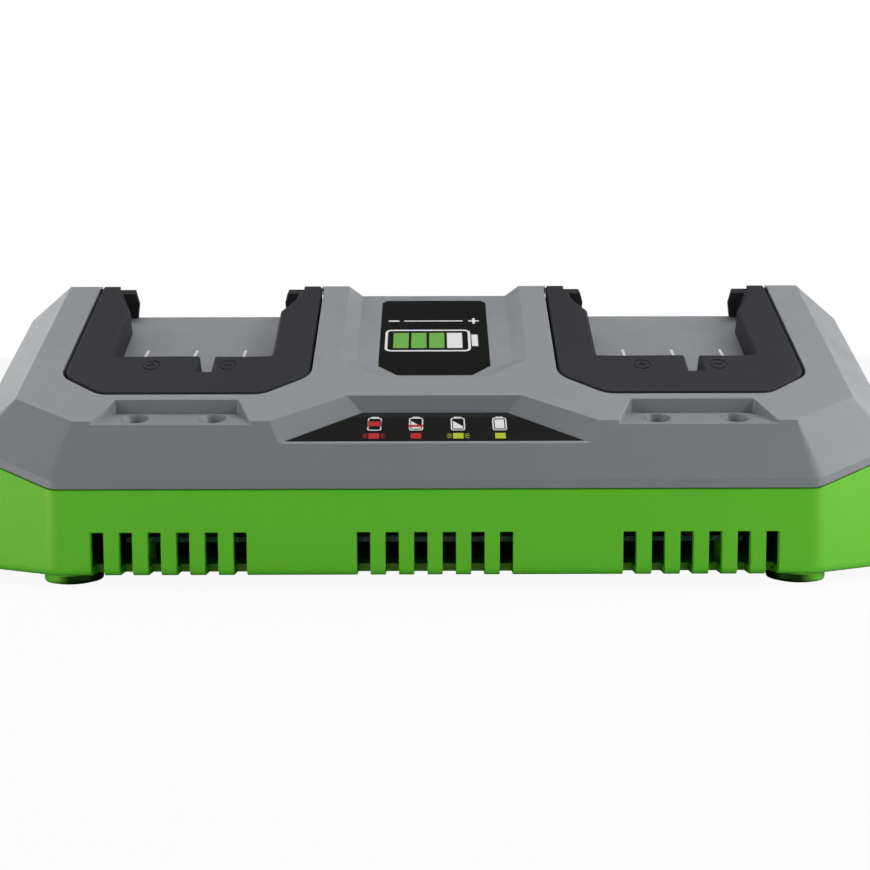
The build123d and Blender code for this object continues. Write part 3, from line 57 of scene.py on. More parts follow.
# ------------------------------------------------------------------ node helpers
class Tree:
    """Short calls for adding and joining nodes in one node tree."""

    def __init__(self, tree: bpy.types.NodeTree) -> None:
        """Keeps the tree.

        Args:
            tree: node tree of a material, world or group.
        """
        self.tree = tree

    def add(self, kind: str, **values: object) -> bpy.types.Node:
        """Adds a node.

        Args:
            kind: node type, without the leading ShaderNode.
            values: properties of the node, set by name.

        Returns:
            The new node.
        """
        node = self.tree.nodes.new("ShaderNode" + kind)
        for name, value in values.items():
            setattr(node, name, value)
        return node

    def join(self, source: bpy.types.NodeSocket, target: bpy.types.NodeSocket) -> None:
        """Links two sockets.

        Args:
            source: output socket.
            target: input socket.
        """
        self.tree.links.new(source, target)

    def noise(
        self, place: bpy.types.NodeSocket, scale: float, detail: float, rough: float = 0.55
    ) -> bpy.types.NodeSocket:
        """Adds a noise texture.

        Args:
            place: coordinates to read.
            scale: noise cells per metre.
            detail: octaves.
            rough: share that each finer octave keeps.

        Returns:
            The noise value.
        """
        node = self.add("TexNoise")
        node.inputs["Scale"].default_value = scale
        node.inputs["Detail"].default_value = detail
        node.inputs["Roughness"].default_value = rough
        self.join(place, node.inputs["Vector"])
        return node.outputs["Fac"]

    def ramp(
        self, value: bpy.types.NodeSocket, low: float, high: float, to_low: float, to_high: float
    ) -> bpy.types.NodeSocket:
        """Maps a value from one range to another, clamped.

        Args:
            value: socket to map.
            low: start of the range read.
            high: end of the range read.
            to_low: result at the start.
            to_high: result at the end.

        Returns:
            The mapped value.
        """
        node = self.add("MapRange")
        for name, number in (
            ("From Min", low),
            ("From Max", high),
            ("To Min", to_low),
            ("To Max", to_high),
        ):
            node.inputs[name].default_value = number
        self.join(value, node.inputs["Value"])
        return node.outputs["Result"]

    def blend(
        self,
        share: bpy.types.NodeSocket,
        first: bpy.types.NodeSocket | Rgb,
        second: bpy.types.NodeSocket | Rgb,
    ) -> bpy.types.NodeSocket:
        """Mixes two colours.

        Args:
            share: how much of the second colour shows.
            first: a socket or a plain colour.
            second: a socket or a plain colour.

        Returns:
            The mixed colour.
        """
        node = self.add("Mix", data_type="RGBA")
        self.join(share, node.inputs[0])
        for socket, colour in ((node.inputs[6], first), (node.inputs[7], second)):
            if isinstance(colour, bpy.types.NodeSocket):
                self.join(colour, socket)
            else:
                socket.default_value = (*colour, 1.0)
        return node.outputs[2]

    def math(
        self, kind: str, first: bpy.types.NodeSocket, second: bpy.types.NodeSocket | float
    ) -> bpy.types.NodeSocket:
        """Adds a maths node.

        Args:
            kind: operation, such as MULTIPLY.
            first: first value.
            second: a socket or a plain number.

        Returns:
            The result.
        """
        node = self.add("Math", operation=kind)
        self.join(first, node.inputs[0])
        if isinstance(second, bpy.types.NodeSocket):
            self.join(second, node.inputs[1])
        else:
            node.inputs[1].default_value = second
        return node.outputs[0]

    def size(self, value: bpy.types.NodeSocket) -> bpy.types.NodeSocket:
        """Drops the sign of a value."""
        return self.math("ABSOLUTE", value, 0.0)

    def place(self) -> bpy.types.NodeSocket:
        """Adds the place of each point in its piece's own frame, in metres."""
        return self.add("TexCoord").outputs["Object"]

    def axes(self, vector: bpy.types.NodeSocket) -> bpy.types.NodeOutputs:
        """Splits a vector.

        Args:
            vector: the vector.

        Returns:
            Sockets by the names X, Y and Z.
        """
        node = self.add("SeparateXYZ")
        self.join(vector, node.inputs["Vector"])
        return node.outputs

    def relief(
        self,
        height: bpy.types.NodeSocket,
        shader: bpy.types.Node,
        strength: float,
        depth: float,
        skin: bpy.types.NodeSocket | None = None,
    ) -> None:
        """Raises the surface of a shader by a height.

        Args:
            height: the height, from 0 to 1.
            shader: shader whose normal follows it.
            strength: share of the relief that shows.
            depth: how far a height of 1 stands up, in millimetres.
            skin: normal that the relief starts from, where it isn't the mesh's own.
        """
        node = self.add("Bump")
        node.inputs["Strength"].default_value = strength
        node.inputs["Distance"].default_value = depth * MM
        self.join(height, node.inputs["Height"])
        if skin is not None:
            self.join(skin, node.inputs["Normal"])
        self.join(node.outputs["Normal"], shader.inputs["Normal"])


def new_group(
    name: str, inputs: dict[str, object], outputs: dict[str, str]
) -> tuple[bpy.types.NodeTree, Tree, bpy.types.Node, bpy.types.Node]:
    """Makes a shader node group with named sockets.

    Args:
        name: name of the group.
        inputs: default by name, a number for a value and a colour for a colour.
        outputs: socket type by name.

    Returns:
        The group, a Tree for it, its input node and its output node.
    """
    group = bpy.data.node_groups.new(name, "ShaderNodeTree")
    for label, value in inputs.items():
        kind = "NodeSocketColor" if isinstance(value, tuple) else "NodeSocketFloat"
        socket = group.interface.new_socket(name=label, in_out="INPUT", socket_type=kind)
        socket.default_value = (*value, 1.0) if isinstance(value, tuple) else value
    for label, kind in outputs.items():
        group.interface.new_socket(name=label, in_out="OUTPUT", socket_type=kind)
    source = group.nodes.new("NodeGroupInput")
    sink = group.nodes.new("NodeGroupOutput")
    return group, Tree(group), source, sink


def new_layer(
    name: str, over: str, colour: Rgb
) -> tuple[Tree, Callable[..., bpy.types.NodeTree]]:
    """Makes a group that lays a second colour over the first where a mask says.

    Args:
        name: name of the group.
        over: name of the input with the second colour.
        colour: default of that input.

    Returns:
        A Tree for the group, and a call that takes its masks, ends it and returns it.
    """
    group, tree, source, sink = new_group(
        name,
        {"Color": (0.5, 0.5, 0.5), over: colour, "Amount": 0.5},
        {"Color": "NodeSocketColor", "Mask": "NodeSocketFloat"},
    )

    def end(*masks: bpy.types.NodeSocket) -> bpy.types.NodeTree:
        """Lays the colour where all masks agree, by the group's Amount."""
        mask = masks[0]
        for other in (*masks[1:], source.outputs["Amount"]):
            mask = tree.math("MULTIPLY", mask, other)
        mixed = tree.blend(mask, source.outputs["Color"], source.outputs[over])
        tree.join(mixed, sink.inputs["Color"])
        tree.join(mask, sink.inputs["Mask"])
        return group

    return tree, end


def moulded_skin() -> bpy.types.NodeTree:
    """Spark-eroded skin of a moulded shell: fine grain, flow shading and faint handling marks.

    Returns:
        A group with Color, Roughness and Height.
    """
    group, tree, source, sink = new_group(
        "moulded_skin",
        {"Color": (0.5, 0.5, 0.5), "Grain": 1.0, "Tone": 0.06, "Roughness": 0.5, "Marks": 0.05},
        {
            "Color": "NodeSocketColor",
            "Roughness": "NodeSocketFloat",
            "Height": "NodeSocketFloat",
        },
    )
    place = tree.place()
    grain = tree.noise(place, 2600.0, 2.0)
    pits = tree.noise(place, 900.0, 3.0, 0.6)
    flow = tree.noise(place, 14.0, 4.0, 0.5)
    smears = tree.noise(place, 55.0, 5.0, 0.65)
    height = tree.math("ADD", tree.math("MULTIPLY", grain, 0.6), tree.math("MULTIPLY", pits, 0.4))
    tree.join(tree.math("MULTIPLY", height, source.outputs["Grain"]), sink.inputs["Height"])
    shade = tree.add("HueSaturation")
    tree.join(source.outputs["Color"], shade.inputs["Color"])
    uneven = tree.math("SUBTRACT", tree.ramp(flow, 0.3, 0.7, 0.0, 1.0), 0.5)
    fine = tree.math("SUBTRACT", pits, 0.5)
    spread = tree.math("ADD", uneven, tree.math("MULTIPLY", fine, 0.8))
    tree.join(
        tree.math("ADD", tree.math("MULTIPLY", spread, source.outputs["Tone"]), 1.0),
        shade.inputs["Value"],
    )
    tree.join(shade.outputs["Color"], sink.inputs["Color"])
    marks = tree.math("MULTIPLY", tree.ramp(smears, 0.45, 0.75, 0.0, 1.0), source.outputs["Marks"])
    tree.join(tree.math("SUBTRACT", source.outputs["Roughness"], marks), sink.inputs["Roughness"])
    return group


def dust_and_top_light() -> bpy.types.NodeTree:
    """Thin uneven dust on faces that look up, which also paints them lighter, as light from above
    would.

    Returns:
        A group with Color and Mask.
    """
    tree, end = new_layer("dust_and_top_light", "DustAndTopLight", (0.5, 0.48, 0.45))
    normal = tree.axes(tree.add("NewGeometry").outputs["Normal"])
    # Faces that look up get the dust and the painted top light
    upward = tree.ramp(normal["Z"], 0.35, 0.95, 0.0, 1.0)
    patches = tree.ramp(tree.noise(tree.place(), 120.0, 6.0, 0.7), 0.4, 0.7, 0.2, 1.0)
    return end(upward, patches)


def rubbed_edges() -> bpy.types.NodeTree:
    """Rounded, slightly paler edges where hands and packs rub.

    Returns:
        A group with Color and Mask.
    """
    tree, end = new_layer("rubbed_edges", "Rub", (0.7, 0.7, 0.7))
    rounded = tree.add("Bevel", samples=4)
    rounded.inputs["Radius"].default_value = RUBBED_WIDTH * MM
    sharp = tree.add("VectorMath", operation="DOT_PRODUCT")
    tree.join(rounded.outputs["Normal"], sharp.inputs[0])
    tree.join(tree.add("NewGeometry").outputs["Normal"], sharp.inputs[1])
    edge = tree.ramp(sharp.outputs["Value"], 0.995, 0.9, 0.0, 1.0)
    broken = tree.ramp(tree.noise(tree.place(), 340.0, 5.0, 0.7), 0.35, 0.65, 0.25, 1.0)
    return end(edge, broken)


def painted_hollow_shade() -> bpy.types.NodeTree:
    """Painted shade, near black, in slots and inside a shell, the darker the more hidden a point
    is.

    Returns:
        A group with Color and Mask.
    """
    tree, end = new_layer("painted_hollow_shade", "PaintedShade", (0.01, 0.01, 0.01))
    open_sky = tree.add("AmbientOcclusion", samples=8)
    open_sky.inputs["Distance"].default_value = HOLLOW_REACH * MM
    # Painted shade: points that see little of the open surround turn dark
    hidden = tree.ramp(open_sky.outputs["AO"], 0.04, 0.26, 1.0, 0.0)
    patches = tree.ramp(tree.noise(tree.place(), 90.0, 5.0, 0.6), 0.3, 0.7, 0.85, 1.0)
    return end(hidden, patches)


def painted_foot_shadow() -> bpy.types.NodeTree:
    """Painted shadow on the foot bosses, dark under the base, which fades towards the outer sides
    of the base.

    Returns:
        A group with Color and Mask.
    """
    tree, end = new_layer("painted_foot_shadow", "PaintedShade", (0.01, 0.01, 0.01))
    place = tree.axes(tree.place())
    # Painted shadow: dark on the bosses below the base's bottom, fading out towards the outer sides
    low = tree.ramp(place["Z"], (BOSS_HEIGHT - 0.3) * MM, BOSS_HEIGHT * MM, 1.0, 0.0)
    inner = tree.ramp(tree.size(place["X"]), FOOT_SHADOW_FULL * MM, FOOT_SHADOW_END * MM, 1.0, 0.0)
    return end(low, inner)


class Effects:
    """Shared shader groups, each built once."""

    built: dict[str, bpy.types.NodeTree] = {}
    makers = {
        "moulded_skin": moulded_skin,
        "dust_and_top_light": dust_and_top_light,
        "rubbed_edges": rubbed_edges,
        "painted_hollow_shade": painted_hollow_shade,
        "painted_foot_shadow": painted_foot_shadow,
    }

    @classmethod
    def place(cls, tree: Tree, name: str, **values: object) -> bpy.types.Node:
        """Puts a shared group in a material.

        Args:
            tree: the material's tree.
            name: name of the group.
            values: a number, colour or socket by input name.

        Returns:
            The group node.
        """
        if name not in cls.built:
            cls.built[name] = cls.makers[name]()
        node = tree.add("Group")
        node.node_tree = cls.built[name]
        for label, value in values.items():
            socket = node.inputs[label]
            if isinstance(value, bpy.types.NodeSocket):
                tree.join(value, socket)
            else:
                socket.default_value = (*value, 1.0) if isinstance(value, tuple) else value
        return node


# ------------------------------------------------------------------ finishes
def scaled(colour: Rgb, share: float) -> Rgb:
    """Makes a colour lighter or darker.

    Args:
        colour: the colour.
        share: what each channel is multiplied by.

    Returns:
        The new colour.
    """
    return tuple(channel * share for channel in colour)


@dataclass(frozen=True)
class Finish:
    """A finish with a name, the slot that it stands for and its plain colour."""

    name: str
    slot: str
    colour: Rgb

    def start(self) -> tuple[bpy.types.Material, Tree, bpy.types.Node]:
        """Makes an empty node material.

        Returns:
            The material, its tree and its Principled BSDF.
        """
        material = bpy.data.materials.new(self.name)
        material.use_nodes = True
        tree = Tree(material.node_tree)
        shader = material.node_tree.nodes["Principled BSDF"]
        return material, tree, shader

    def make(self) -> bpy.types.Material:
        """Builds the material, once.

        Returns:
            The material.
        """
        found = bpy.data.materials.get(self.name)
        return found or self.build()

    def build(self) -> bpy.types.Material:
        """Builds the material; each kind of finish has its own way."""
        raise NotImplementedError


@dataclass(frozen=True)
class MouldedPlastic(Finish):
    """Injection-moulded plastic with a grained skin, soft edges, a little dust that also paints
    upward faces lighter, and painted shade in its hollows.
    """

    roughness: float = 0.5
    grain: float = 1.0
    grain_depth: float = 0.02
    tone: float = 0.06
    marks: float = 0.06
    rub: Rgb = (0.6, 0.6, 0.6)
    rub_amount: float = 0.15
    dust_and_light: float = 0.05
    rounding: float = 0.35
    specular: float = 0.5
    sheen_tint: Rgb = (1.0, 1.0, 1.0)
    # Colour and share of the painted shade in hollows, also used for the painted shadow on the foot
    # bosses
    painted_shade_colour: Rgb = (0.012, 0.012, 0.012)
    painted_shade_amount: float = 0.5
    painted_foot_shadow: float = 0.0

    def build(self) -> bpy.types.Material:
        """Builds the material.

        Returns:
            The material.
        """
        material, tree, shader = self.start()
        skin = Effects.place(
            tree,
            "moulded_skin",
            Color=self.colour,
            Grain=self.grain,
            Tone=self.tone,
            Roughness=self.roughness,
            Marks=self.marks,
        )
        rubbed = Effects.place(
            tree,
            "rubbed_edges",
            Color=skin.outputs["Color"],
            Rub=self.rub,
            Amount=self.rub_amount,
        )
        # Dust that also paints upward faces lighter
        dusted_and_lit = Effects.place(
            tree, "dust_and_top_light", Color=rubbed.outputs["Color"], Amount=self.dust_and_light
        )
        # Painted shade in slots and hollows
        with_painted_shade = Effects.place(
            tree,
            "painted_hollow_shade",
            Color=dusted_and_lit.outputs["Color"],
            PaintedShade=self.painted_shade_colour,
            Amount=self.painted_shade_amount,
        )
        if self.painted_foot_shadow:
            with_painted_shade = Effects.place(
                tree,
                "painted_foot_shadow",
                Color=with_painted_shade.outputs["Color"],
                PaintedShade=self.painted_shade_colour,
                Amount=self.painted_foot_shadow,
            )
            # The painted foot shadow also drives Metallic, so the shaded bosses turn a black metal
            # that mirrors less of the floor than black plastic does
            tree.join(with_painted_shade.outputs["Mask"], shader.inputs["Metallic"])
        tree.join(with_painted_shade.outputs["Color"], shader.inputs["Base Color"])
        tree.join(
            tree.math("ADD", skin.outputs["Roughness"], dusted_and_lit.outputs["Mask"]),
            shader.inputs["Roughness"],
        )
        soft = tree.add("Bevel", samples=4)
        soft.inputs["Radius"].default_value = self.rounding * MM
        tree.relief(
            skin.outputs["Height"], shader, 0.6, self.grain_depth, soft.outputs["Normal"]
        )
        shader.inputs["Specular IOR Level"].default_value = self.specular
        shader.inputs["Specular Tint"].default_value = (*self.sheen_tint, 1.0)
        return material


@dataclass(frozen=True)
class LabelFilm(Finish):
    """Printed film with a faint orange-peel gloss."""

    roughness: float = 0.14
    specular: float = 0.3

    def build(self) -> bpy.types.Material:
        """Builds the material.

        Returns:
            The material.
        """
        material, tree, shader = self.start()
        place = tree.place()
        cloud = tree.noise(place, 60.0, 4.0)
        tree.join(
            tree.blend(
                tree.ramp(cloud, 0.35, 0.65, 0.0, 1.0),
                self.colour,
                scaled(self.colour, 1.08),
            ),
            shader.inputs["Base Color"],
        )
        peel = tree.noise(place, 1500.0, 2.0)
        wipes = tree.noise(place, 220.0, 5.0)
        tree.relief(peel, shader, 0.15, 0.01)
        tree.join(
            tree.ramp(wipes, 0.3, 0.7, self.roughness - 0.01, self.roughness + 0.01),
            shader.inputs["Roughness"],
        )
        shader.inputs["Specular IOR Level"].default_value = self.specular
        return material


@dataclass(frozen=True)
class PrintInk(Finish):
    """Screen-printed ink, a little uneven where it lies."""

    roughness: float = 0.5
    specular: float = 0.2

    def build(self) -> bpy.types.Material:
        """Builds the material.

        Returns:
            The material.
        """
        material, tree, shader = self.start()
        place = tree.place()
        dots = tree.noise(place, 1800.0, 3.0, 0.6)
        tree.join(
            tree.blend(
                tree.ramp(dots, 0.35, 0.7, 0.0, 0.35),
                self.colour,
                scaled(self.colour, 0.8),
            ),
            shader.inputs["Base Color"],
        )
        tree.join(
            tree.ramp(dots, 0.3, 0.7, self.roughness - 0.08, self.roughness + 0.08),
            shader.inputs["Roughness"],
        )
        shader.inputs["Specular IOR Level"].default_value = self.specular
        return material


@dataclass(frozen=True)
class WorkedMetal(Finish):
    """Metal with fine drawn lines and small tone changes."""

    roughness: float = 0.25
    line_scale: float = 1800.0
    stretch: tuple[float, float, float] = (1.0, 1.0, 12.0)
    tarnish: float = 0.15
    metallic: float = 1.0
    polished_sides: bool = False

    def build(self) -> bpy.types.Material:
        """Builds the material.

        Returns:
            The material.
        """
        material, tree, shader = self.start()
        place = tree.place()
        stretched = tree.add("Mapping")
        stretched.inputs["Scale"].default_value = self.stretch
        tree.join(place, stretched.inputs["Vector"])
        lines = tree.noise(stretched.outputs["Vector"], self.line_scale, 3.0)
        cloud = tree.noise(place, 260.0, 4.0)
        tree.join(
            tree.blend(
                tree.ramp(cloud, 0.4, 0.75, 0.0, self.tarnish),
                self.colour,
                scaled(self.colour, 0.55),
            ),
            shader.inputs["Base Color"],
        )
        rough = tree.ramp(lines, 0.3, 0.7, self.roughness - 0.07, self.roughness + 0.1)
        if self.polished_sides:
            side = tree.size(tree.axes(tree.add("TexCoord").outputs["Normal"])["X"])
            rough = tree.math("MULTIPLY", rough, tree.ramp(side, 0.5, 0.9, 1.0, 0.3))
            tree.join(tree.ramp(side, 0.5, 0.9, self.metallic, 1.0), shader.inputs["Metallic"])
        tree.join(rough, shader.inputs["Roughness"])
        tree.relief(lines, shader, 0.25, 0.01)
        shader.inputs["Metallic"].default_value = self.metallic
        return material


@dataclass(frozen=True)
class TintedLens(Finish):
    """Tinted resin of a charge lamp, darker in its depth."""

    depth_colour: Rgb = (0.05, 0.01, 0.01)

    def build(self) -> bpy.types.Material:
        """Builds the material.

        Returns:
            The material.
        """
        material, tree, shader = self.start()
        place = tree.place()
        facing = tree.add("LayerWeight")
        facing.inputs["Blend"].default_value = 0.35
        cloud = tree.noise(place, 420.0, 3.0)
        tone = tree.blend(
            tree.ramp(cloud, 0.3, 0.7, 0.0, 0.5), self.colour, self.depth_colour
        )
        tree.join(
            tree.blend(facing.outputs["Facing"], tone, scaled(self.colour, 0.6)),
            shader.inputs["Base Color"],
        )
        tree.join(tree.ramp(cloud, 0.3, 0.7, 0.12, 0.22), shader.inputs["Roughness"])
        shader.inputs["Coat Weight"].default_value = 0.6
        shader.inputs["Coat Roughness"].default_value = 0.08
        return material


@dataclass(frozen=True)
class SolderMask(Finish):
    """Circuit board: solder mask over copper tracks and glass weave, with painted shade where it
    lies hidden.
    """

    track: Rgb = (0.05, 0.3, 0.11)
    shade: Rgb = (0.002, 0.007, 0.003)

    def build(self) -> bpy.types.Material:
        """Builds the material.

        Returns:
            The material.
        """
        material, tree, shader = self.start()
        place = tree.place()
        cells = tree.add("TexVoronoi", feature="DISTANCE_TO_EDGE", distance="CHEBYCHEV")
        cells.inputs["Scale"].default_value = 190.0
        cells.inputs["Randomness"].default_value = 0.75
        tree.join(place, cells.inputs["Vector"])
        tracks = tree.ramp(cells.outputs["Distance"], 0.05, 0.08, 1.0, 0.0)
        weave = tree.noise(place, 1500.0, 2.0)
        ground = tree.blend(
            tree.ramp(weave, 0.3, 0.7, 0.0, 0.4), self.colour, scaled(self.colour, 0.7)
        )
        # Painted shade darkens the board where it lies hidden inside the housing
        shaded = Effects.place(
            tree,
            "painted_hollow_shade",
            Color=tree.blend(tracks, ground, self.track),
            PaintedShade=self.shade,
            Amount=0.95,
        )
        tree.join(shaded.outputs["Color"], shader.inputs["Base Color"])
        tree.join(tree.ramp(weave, 0.3, 0.7, 0.28, 0.4), shader.inputs["Roughness"])
        tree.relief(tracks, shader, 0.4, 0.03)
        return material


class WindingAxis(Enum):
    """Axis that the bands of a winding follow."""

    X = "X"
    Y = "Y"
    Z = "Z"


@dataclass(frozen=True)
class WoundWire(Finish):
    """Enamelled wire or tape, laid in bands."""

    axis: WindingAxis = WindingAxis.Z
    bands: float = 260.0
    gap: Rgb = (0.08, 0.03, 0.02)
    metal: float = 0.0
    roughness: float = 0.35

    def build(self) -> bpy.types.Material:
        """Builds the material.

        Returns:
            The material.
        """
        material, tree, shader = self.start()
        place = tree.place()
        wave = tree.add("TexWave", wave_type="BANDS", bands_direction=self.axis.value)
        wave.inputs["Scale"].default_value = self.bands
        wave.inputs["Distortion"].default_value = 0.4
        wave.inputs["Detail"].default_value = 1.0
        tree.join(place, wave.inputs["Vector"])
        turn = tree.ramp(wave.outputs["Fac"], 0.05, 0.6, 0.0, 1.0)
        tree.join(tree.blend(turn, self.gap, self.colour), shader.inputs["Base Color"])
        tree.join(
            tree.ramp(wave.outputs["Fac"], 0.0, 1.0, self.roughness + 0.2, self.roughness),
            shader.inputs["Roughness"],
        )
        tree.relief(wave.outputs["Fac"], shader, 0.7, 0.12)
        shader.inputs["Metallic"].default_value = self.metal
        return material


@dataclass(frozen=True)
class SpeckledBody(Finish):
    """Cast or sintered body, such as ferrite, resin or rubber, with speckle and pores."""

    speck: Rgb = (0.2, 0.2, 0.2)
    speck_share: float = 0.3
    scale: float = 1200.0
    roughness: float = 0.55
    pore_depth: float = 0.04

    def build(self) -> bpy.types.Material:
        """Builds the material.

        Returns:
            The material.
        """
        material, tree, shader = self.start()
        place = tree.place()
        pores = tree.noise(place, self.scale, 4.0, 0.65)
        cloud = tree.noise(place, self.scale / 14.0, 4.0)
        ground = tree.blend(
            tree.ramp(cloud, 0.3, 0.7, 0.0, 0.6), self.colour, scaled(self.colour, 0.75)
        )
        tree.join(
            tree.blend(tree.ramp(pores, 0.52, 0.78, 0.0, self.speck_share), ground, self.speck),
            shader.inputs["Base Color"],
        )
        tree.join(
            tree.ramp(pores, 0.3, 0.7, self.roughness - 0.08, self.roughness + 0.1),
            shader.inputs["Roughness"],
        )
        tree.relief(pores, shader, 0.5, self.pore_depth)
        return material


# The dust share of the grey shell also paints the deck's upward faces lighter
GREY_SHELL = MouldedPlastic(
    "grey_shell", "grey_plastic", (0.21, 0.227, 0.242), roughness=0.46, tone=0.05,
    rub=(0.45, 0.47, 0.49), rub_amount=0.25, dust_and_light=0.14, rounding=0.5, specular=0.85,
)
GREEN_BASE = MouldedPlastic(
    "green_base", "green_plastic", (0.096, 0.615, 0.0215), roughness=0.38, grain=0.6, tone=0.04,
    rub=(0.3, 0.62, 0.1), rub_amount=0.2, dust_and_light=0.0, rounding=0.5, specular=0.9,
    sheen_tint=(1.0, 0.8, 0.33),
    # Near-black painted shade in slots and inside the base, and painted shadow on the foot bosses
    painted_shade_colour=(0.004, 0.012, 0.003), painted_shade_amount=0.96, painted_foot_shadow=0.95,
)
BLACK_FRAME = MouldedPlastic(
    "black_frame", "black_plastic", (0.024, 0.024, 0.028), roughness=0.55, tone=0.08,
    rub=(0.16, 0.16, 0.17), rub_amount=0.35, dust_and_light=0.01, rounding=0.35, specular=0.14,
    # Near-black painted shade in the bays' hollows
    painted_shade_colour=(0.003, 0.003, 0.003), painted_shade_amount=0.9,
)
BLOCK_PLASTIC = MouldedPlastic(
    "terminal_plastic", "black_plastic", (0.03, 0.03, 0.033), roughness=0.45, dust_and_light=0.02
)
INLET_PLASTIC = MouldedPlastic(
    "inlet_plastic", "black_plastic", (0.022, 0.022, 0.024), roughness=0.42, dust_and_light=0.02
)
FAN_PLASTIC = MouldedPlastic(
    "fan_plastic", "black_plastic", (0.018, 0.018, 0.02), roughness=0.38, grain=0.5, dust_and_light=0.08
)
LABEL_BLACK = LabelFilm("label_film", "label_black", (0.0098, 0.0102, 0.0092))
INK_WHITE = PrintInk("ink_white", "label_black", (0.82, 0.83, 0.82))
INK_RED = PrintInk("ink_red", "label_black", (0.5, 0.008, 0.01))
INK_LIME = PrintInk("ink_lime", "label_black", (0.47, 0.56, 0.016))
INK_GREEN = PrintInk("ink_green", "label_black", (0.16, 0.45, 0.07))
BLADE_METAL = WorkedMetal(
    "blade_metal", "contact_metal", (0.95, 0.95, 0.95), roughness=0.3, tarnish=0.05,
    metallic=0.35, polished_sides=True,
)
PIN_METAL = WorkedMetal("pin_metal", "contact_metal", (0.86, 0.85, 0.82), roughness=0.22)
SCREW_STEEL = WorkedMetal(
    "screw_zinc", "screw_steel", (0.56, 0.57, 0.58), roughness=0.3, tarnish=0.4
)
SINK_METAL = WorkedMetal(
    "sink_aluminium", "heat_sink_metal", (0.7, 0.71, 0.73), roughness=0.38,
    stretch=(1.0, 1.0, 0.06),
)
FUSE_METAL = WorkedMetal("fuse_metal", "fuse_glass", (0.72, 0.71, 0.68), roughness=0.25)
FOOT_RUBBER = SpeckledBody(
    "foot_rubber", "rubber", (0.017, 0.017, 0.017), speck=(0.06, 0.06, 0.06), roughness=0.75
)
RED_LENS = TintedLens(
    "red_lamp", "red_lens", (0.12, 0.01, 0.008), depth_colour=(0.02, 0.004, 0.004)
)
GREEN_LENS = TintedLens(
    "green_lamp", "green_lens", (0.025, 0.1, 0.02), depth_colour=(0.005, 0.02, 0.005)
)
BOARD = SolderMask("board_laminate", "circuit_board", (0.018, 0.15, 0.05))
FERRITE = SpeckledBody("ferrite_grey", "ferrite", (0.05, 0.05, 0.055), roughness=0.6)
BOBBIN = SpeckledBody("bobbin_body", "bobbin_plastic", (0.05, 0.05, 0.05), scale=2200.0)
TAPE = WoundWire(
    "winding_tape", "winding_tape", (0.75, 0.58, 0.06), axis=WindingAxis.Z, bands=90.0,
    gap=(0.45, 0.3, 0.03),
)
COPPER = WoundWire(
    "winding_copper", "copper_wire", (0.72, 0.3, 0.13), axis=WindingAxis.X, bands=300.0,
    metal=0.7,
)
CAN_SLEEVE = SpeckledBody(
    "can_sleeve", "capacitor_sleeve", (0.012, 0.02, 0.075), speck=(0.03, 0.04, 0.12),
    scale=500.0, roughness=0.3, pore_depth=0.01,
)
FILM_BOX = SpeckledBody(
    "film_box", "film_capacitor", (0.62, 0.42, 0.04), speck=(0.7, 0.5, 0.1), roughness=0.35
)
CHIP_EPOXY = SpeckledBody(
    "chip_epoxy", "chip_black", (0.02, 0.02, 0.021), speck=(0.07, 0.07, 0.07), scale=3000.0
)
NYLON = SpeckledBody(
    "header_nylon", "connector_white", (0.75, 0.73, 0.68), speck=(0.8, 0.78, 0.74),
    scale=1600.0, roughness=0.42, pore_depth=0.01,
)
WIRE_RED = SpeckledBody(
    "wire_red", "wire_cover", (0.38, 0.02, 0.018), speck=(0.45, 0.05, 0.04), scale=1400.0,
    roughness=0.38, pore_depth=0.01,
)


# ------------------------------------------------------------------ pieces
def dress(finish: Finish, *nodes: str) -> None:
    """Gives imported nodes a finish.

    Args:
        finish: the finish.
        nodes: names of the nodes.
    """
    material = finish.make()
    for name in nodes:
        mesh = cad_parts[name].data
        mesh.materials.clear()
        mesh.materials.append(material)
        log.info("%s wears %s", name, finish.name)


@dataclass(frozen=True)
class Flat:
    """A flat face with its own x and y axes, measured in millimetres."""

    origin: Vector
    across: Vector
    along: Vector

    @classmethod
    def sloped(cls, start: Place, tilt: float, sink: float = 0.0) -> "Flat":
        """Makes a face that slopes up towards the rear.

        Args:
            start: where the face's own axes start, in millimetres.
            tilt: slope of the face, in degrees.
            sink: how far the face lies under that point, in millimetres.

        Returns:
            The face.
        """
        slope = math.radians(tilt)
        along = Vector((0.0, math.cos(slope), math.sin(slope)))
        over = Vector((0.0, -math.sin(slope), math.cos(slope)))
        return cls(Vector(start) - over * sink, Vector((1.0, 0.0, 0.0)), along)

    @property
    def normal(self) -> Vector:
        """Direction that the face looks in."""
        return self.across.cross(self.along).normalized()

    def at(self, x: float, y: float, height: float = 0.0) -> Vector:
        """A point over the face.

        Args:
            x: place across the face, in millimetres.
            y: place along the face, in millimetres.
            height: distance over the face, in millimetres.

        Returns:
            The point, in metres.
        """
        spot = self.origin + self.across * x + self.along * y + self.normal * height
        return spot * MM


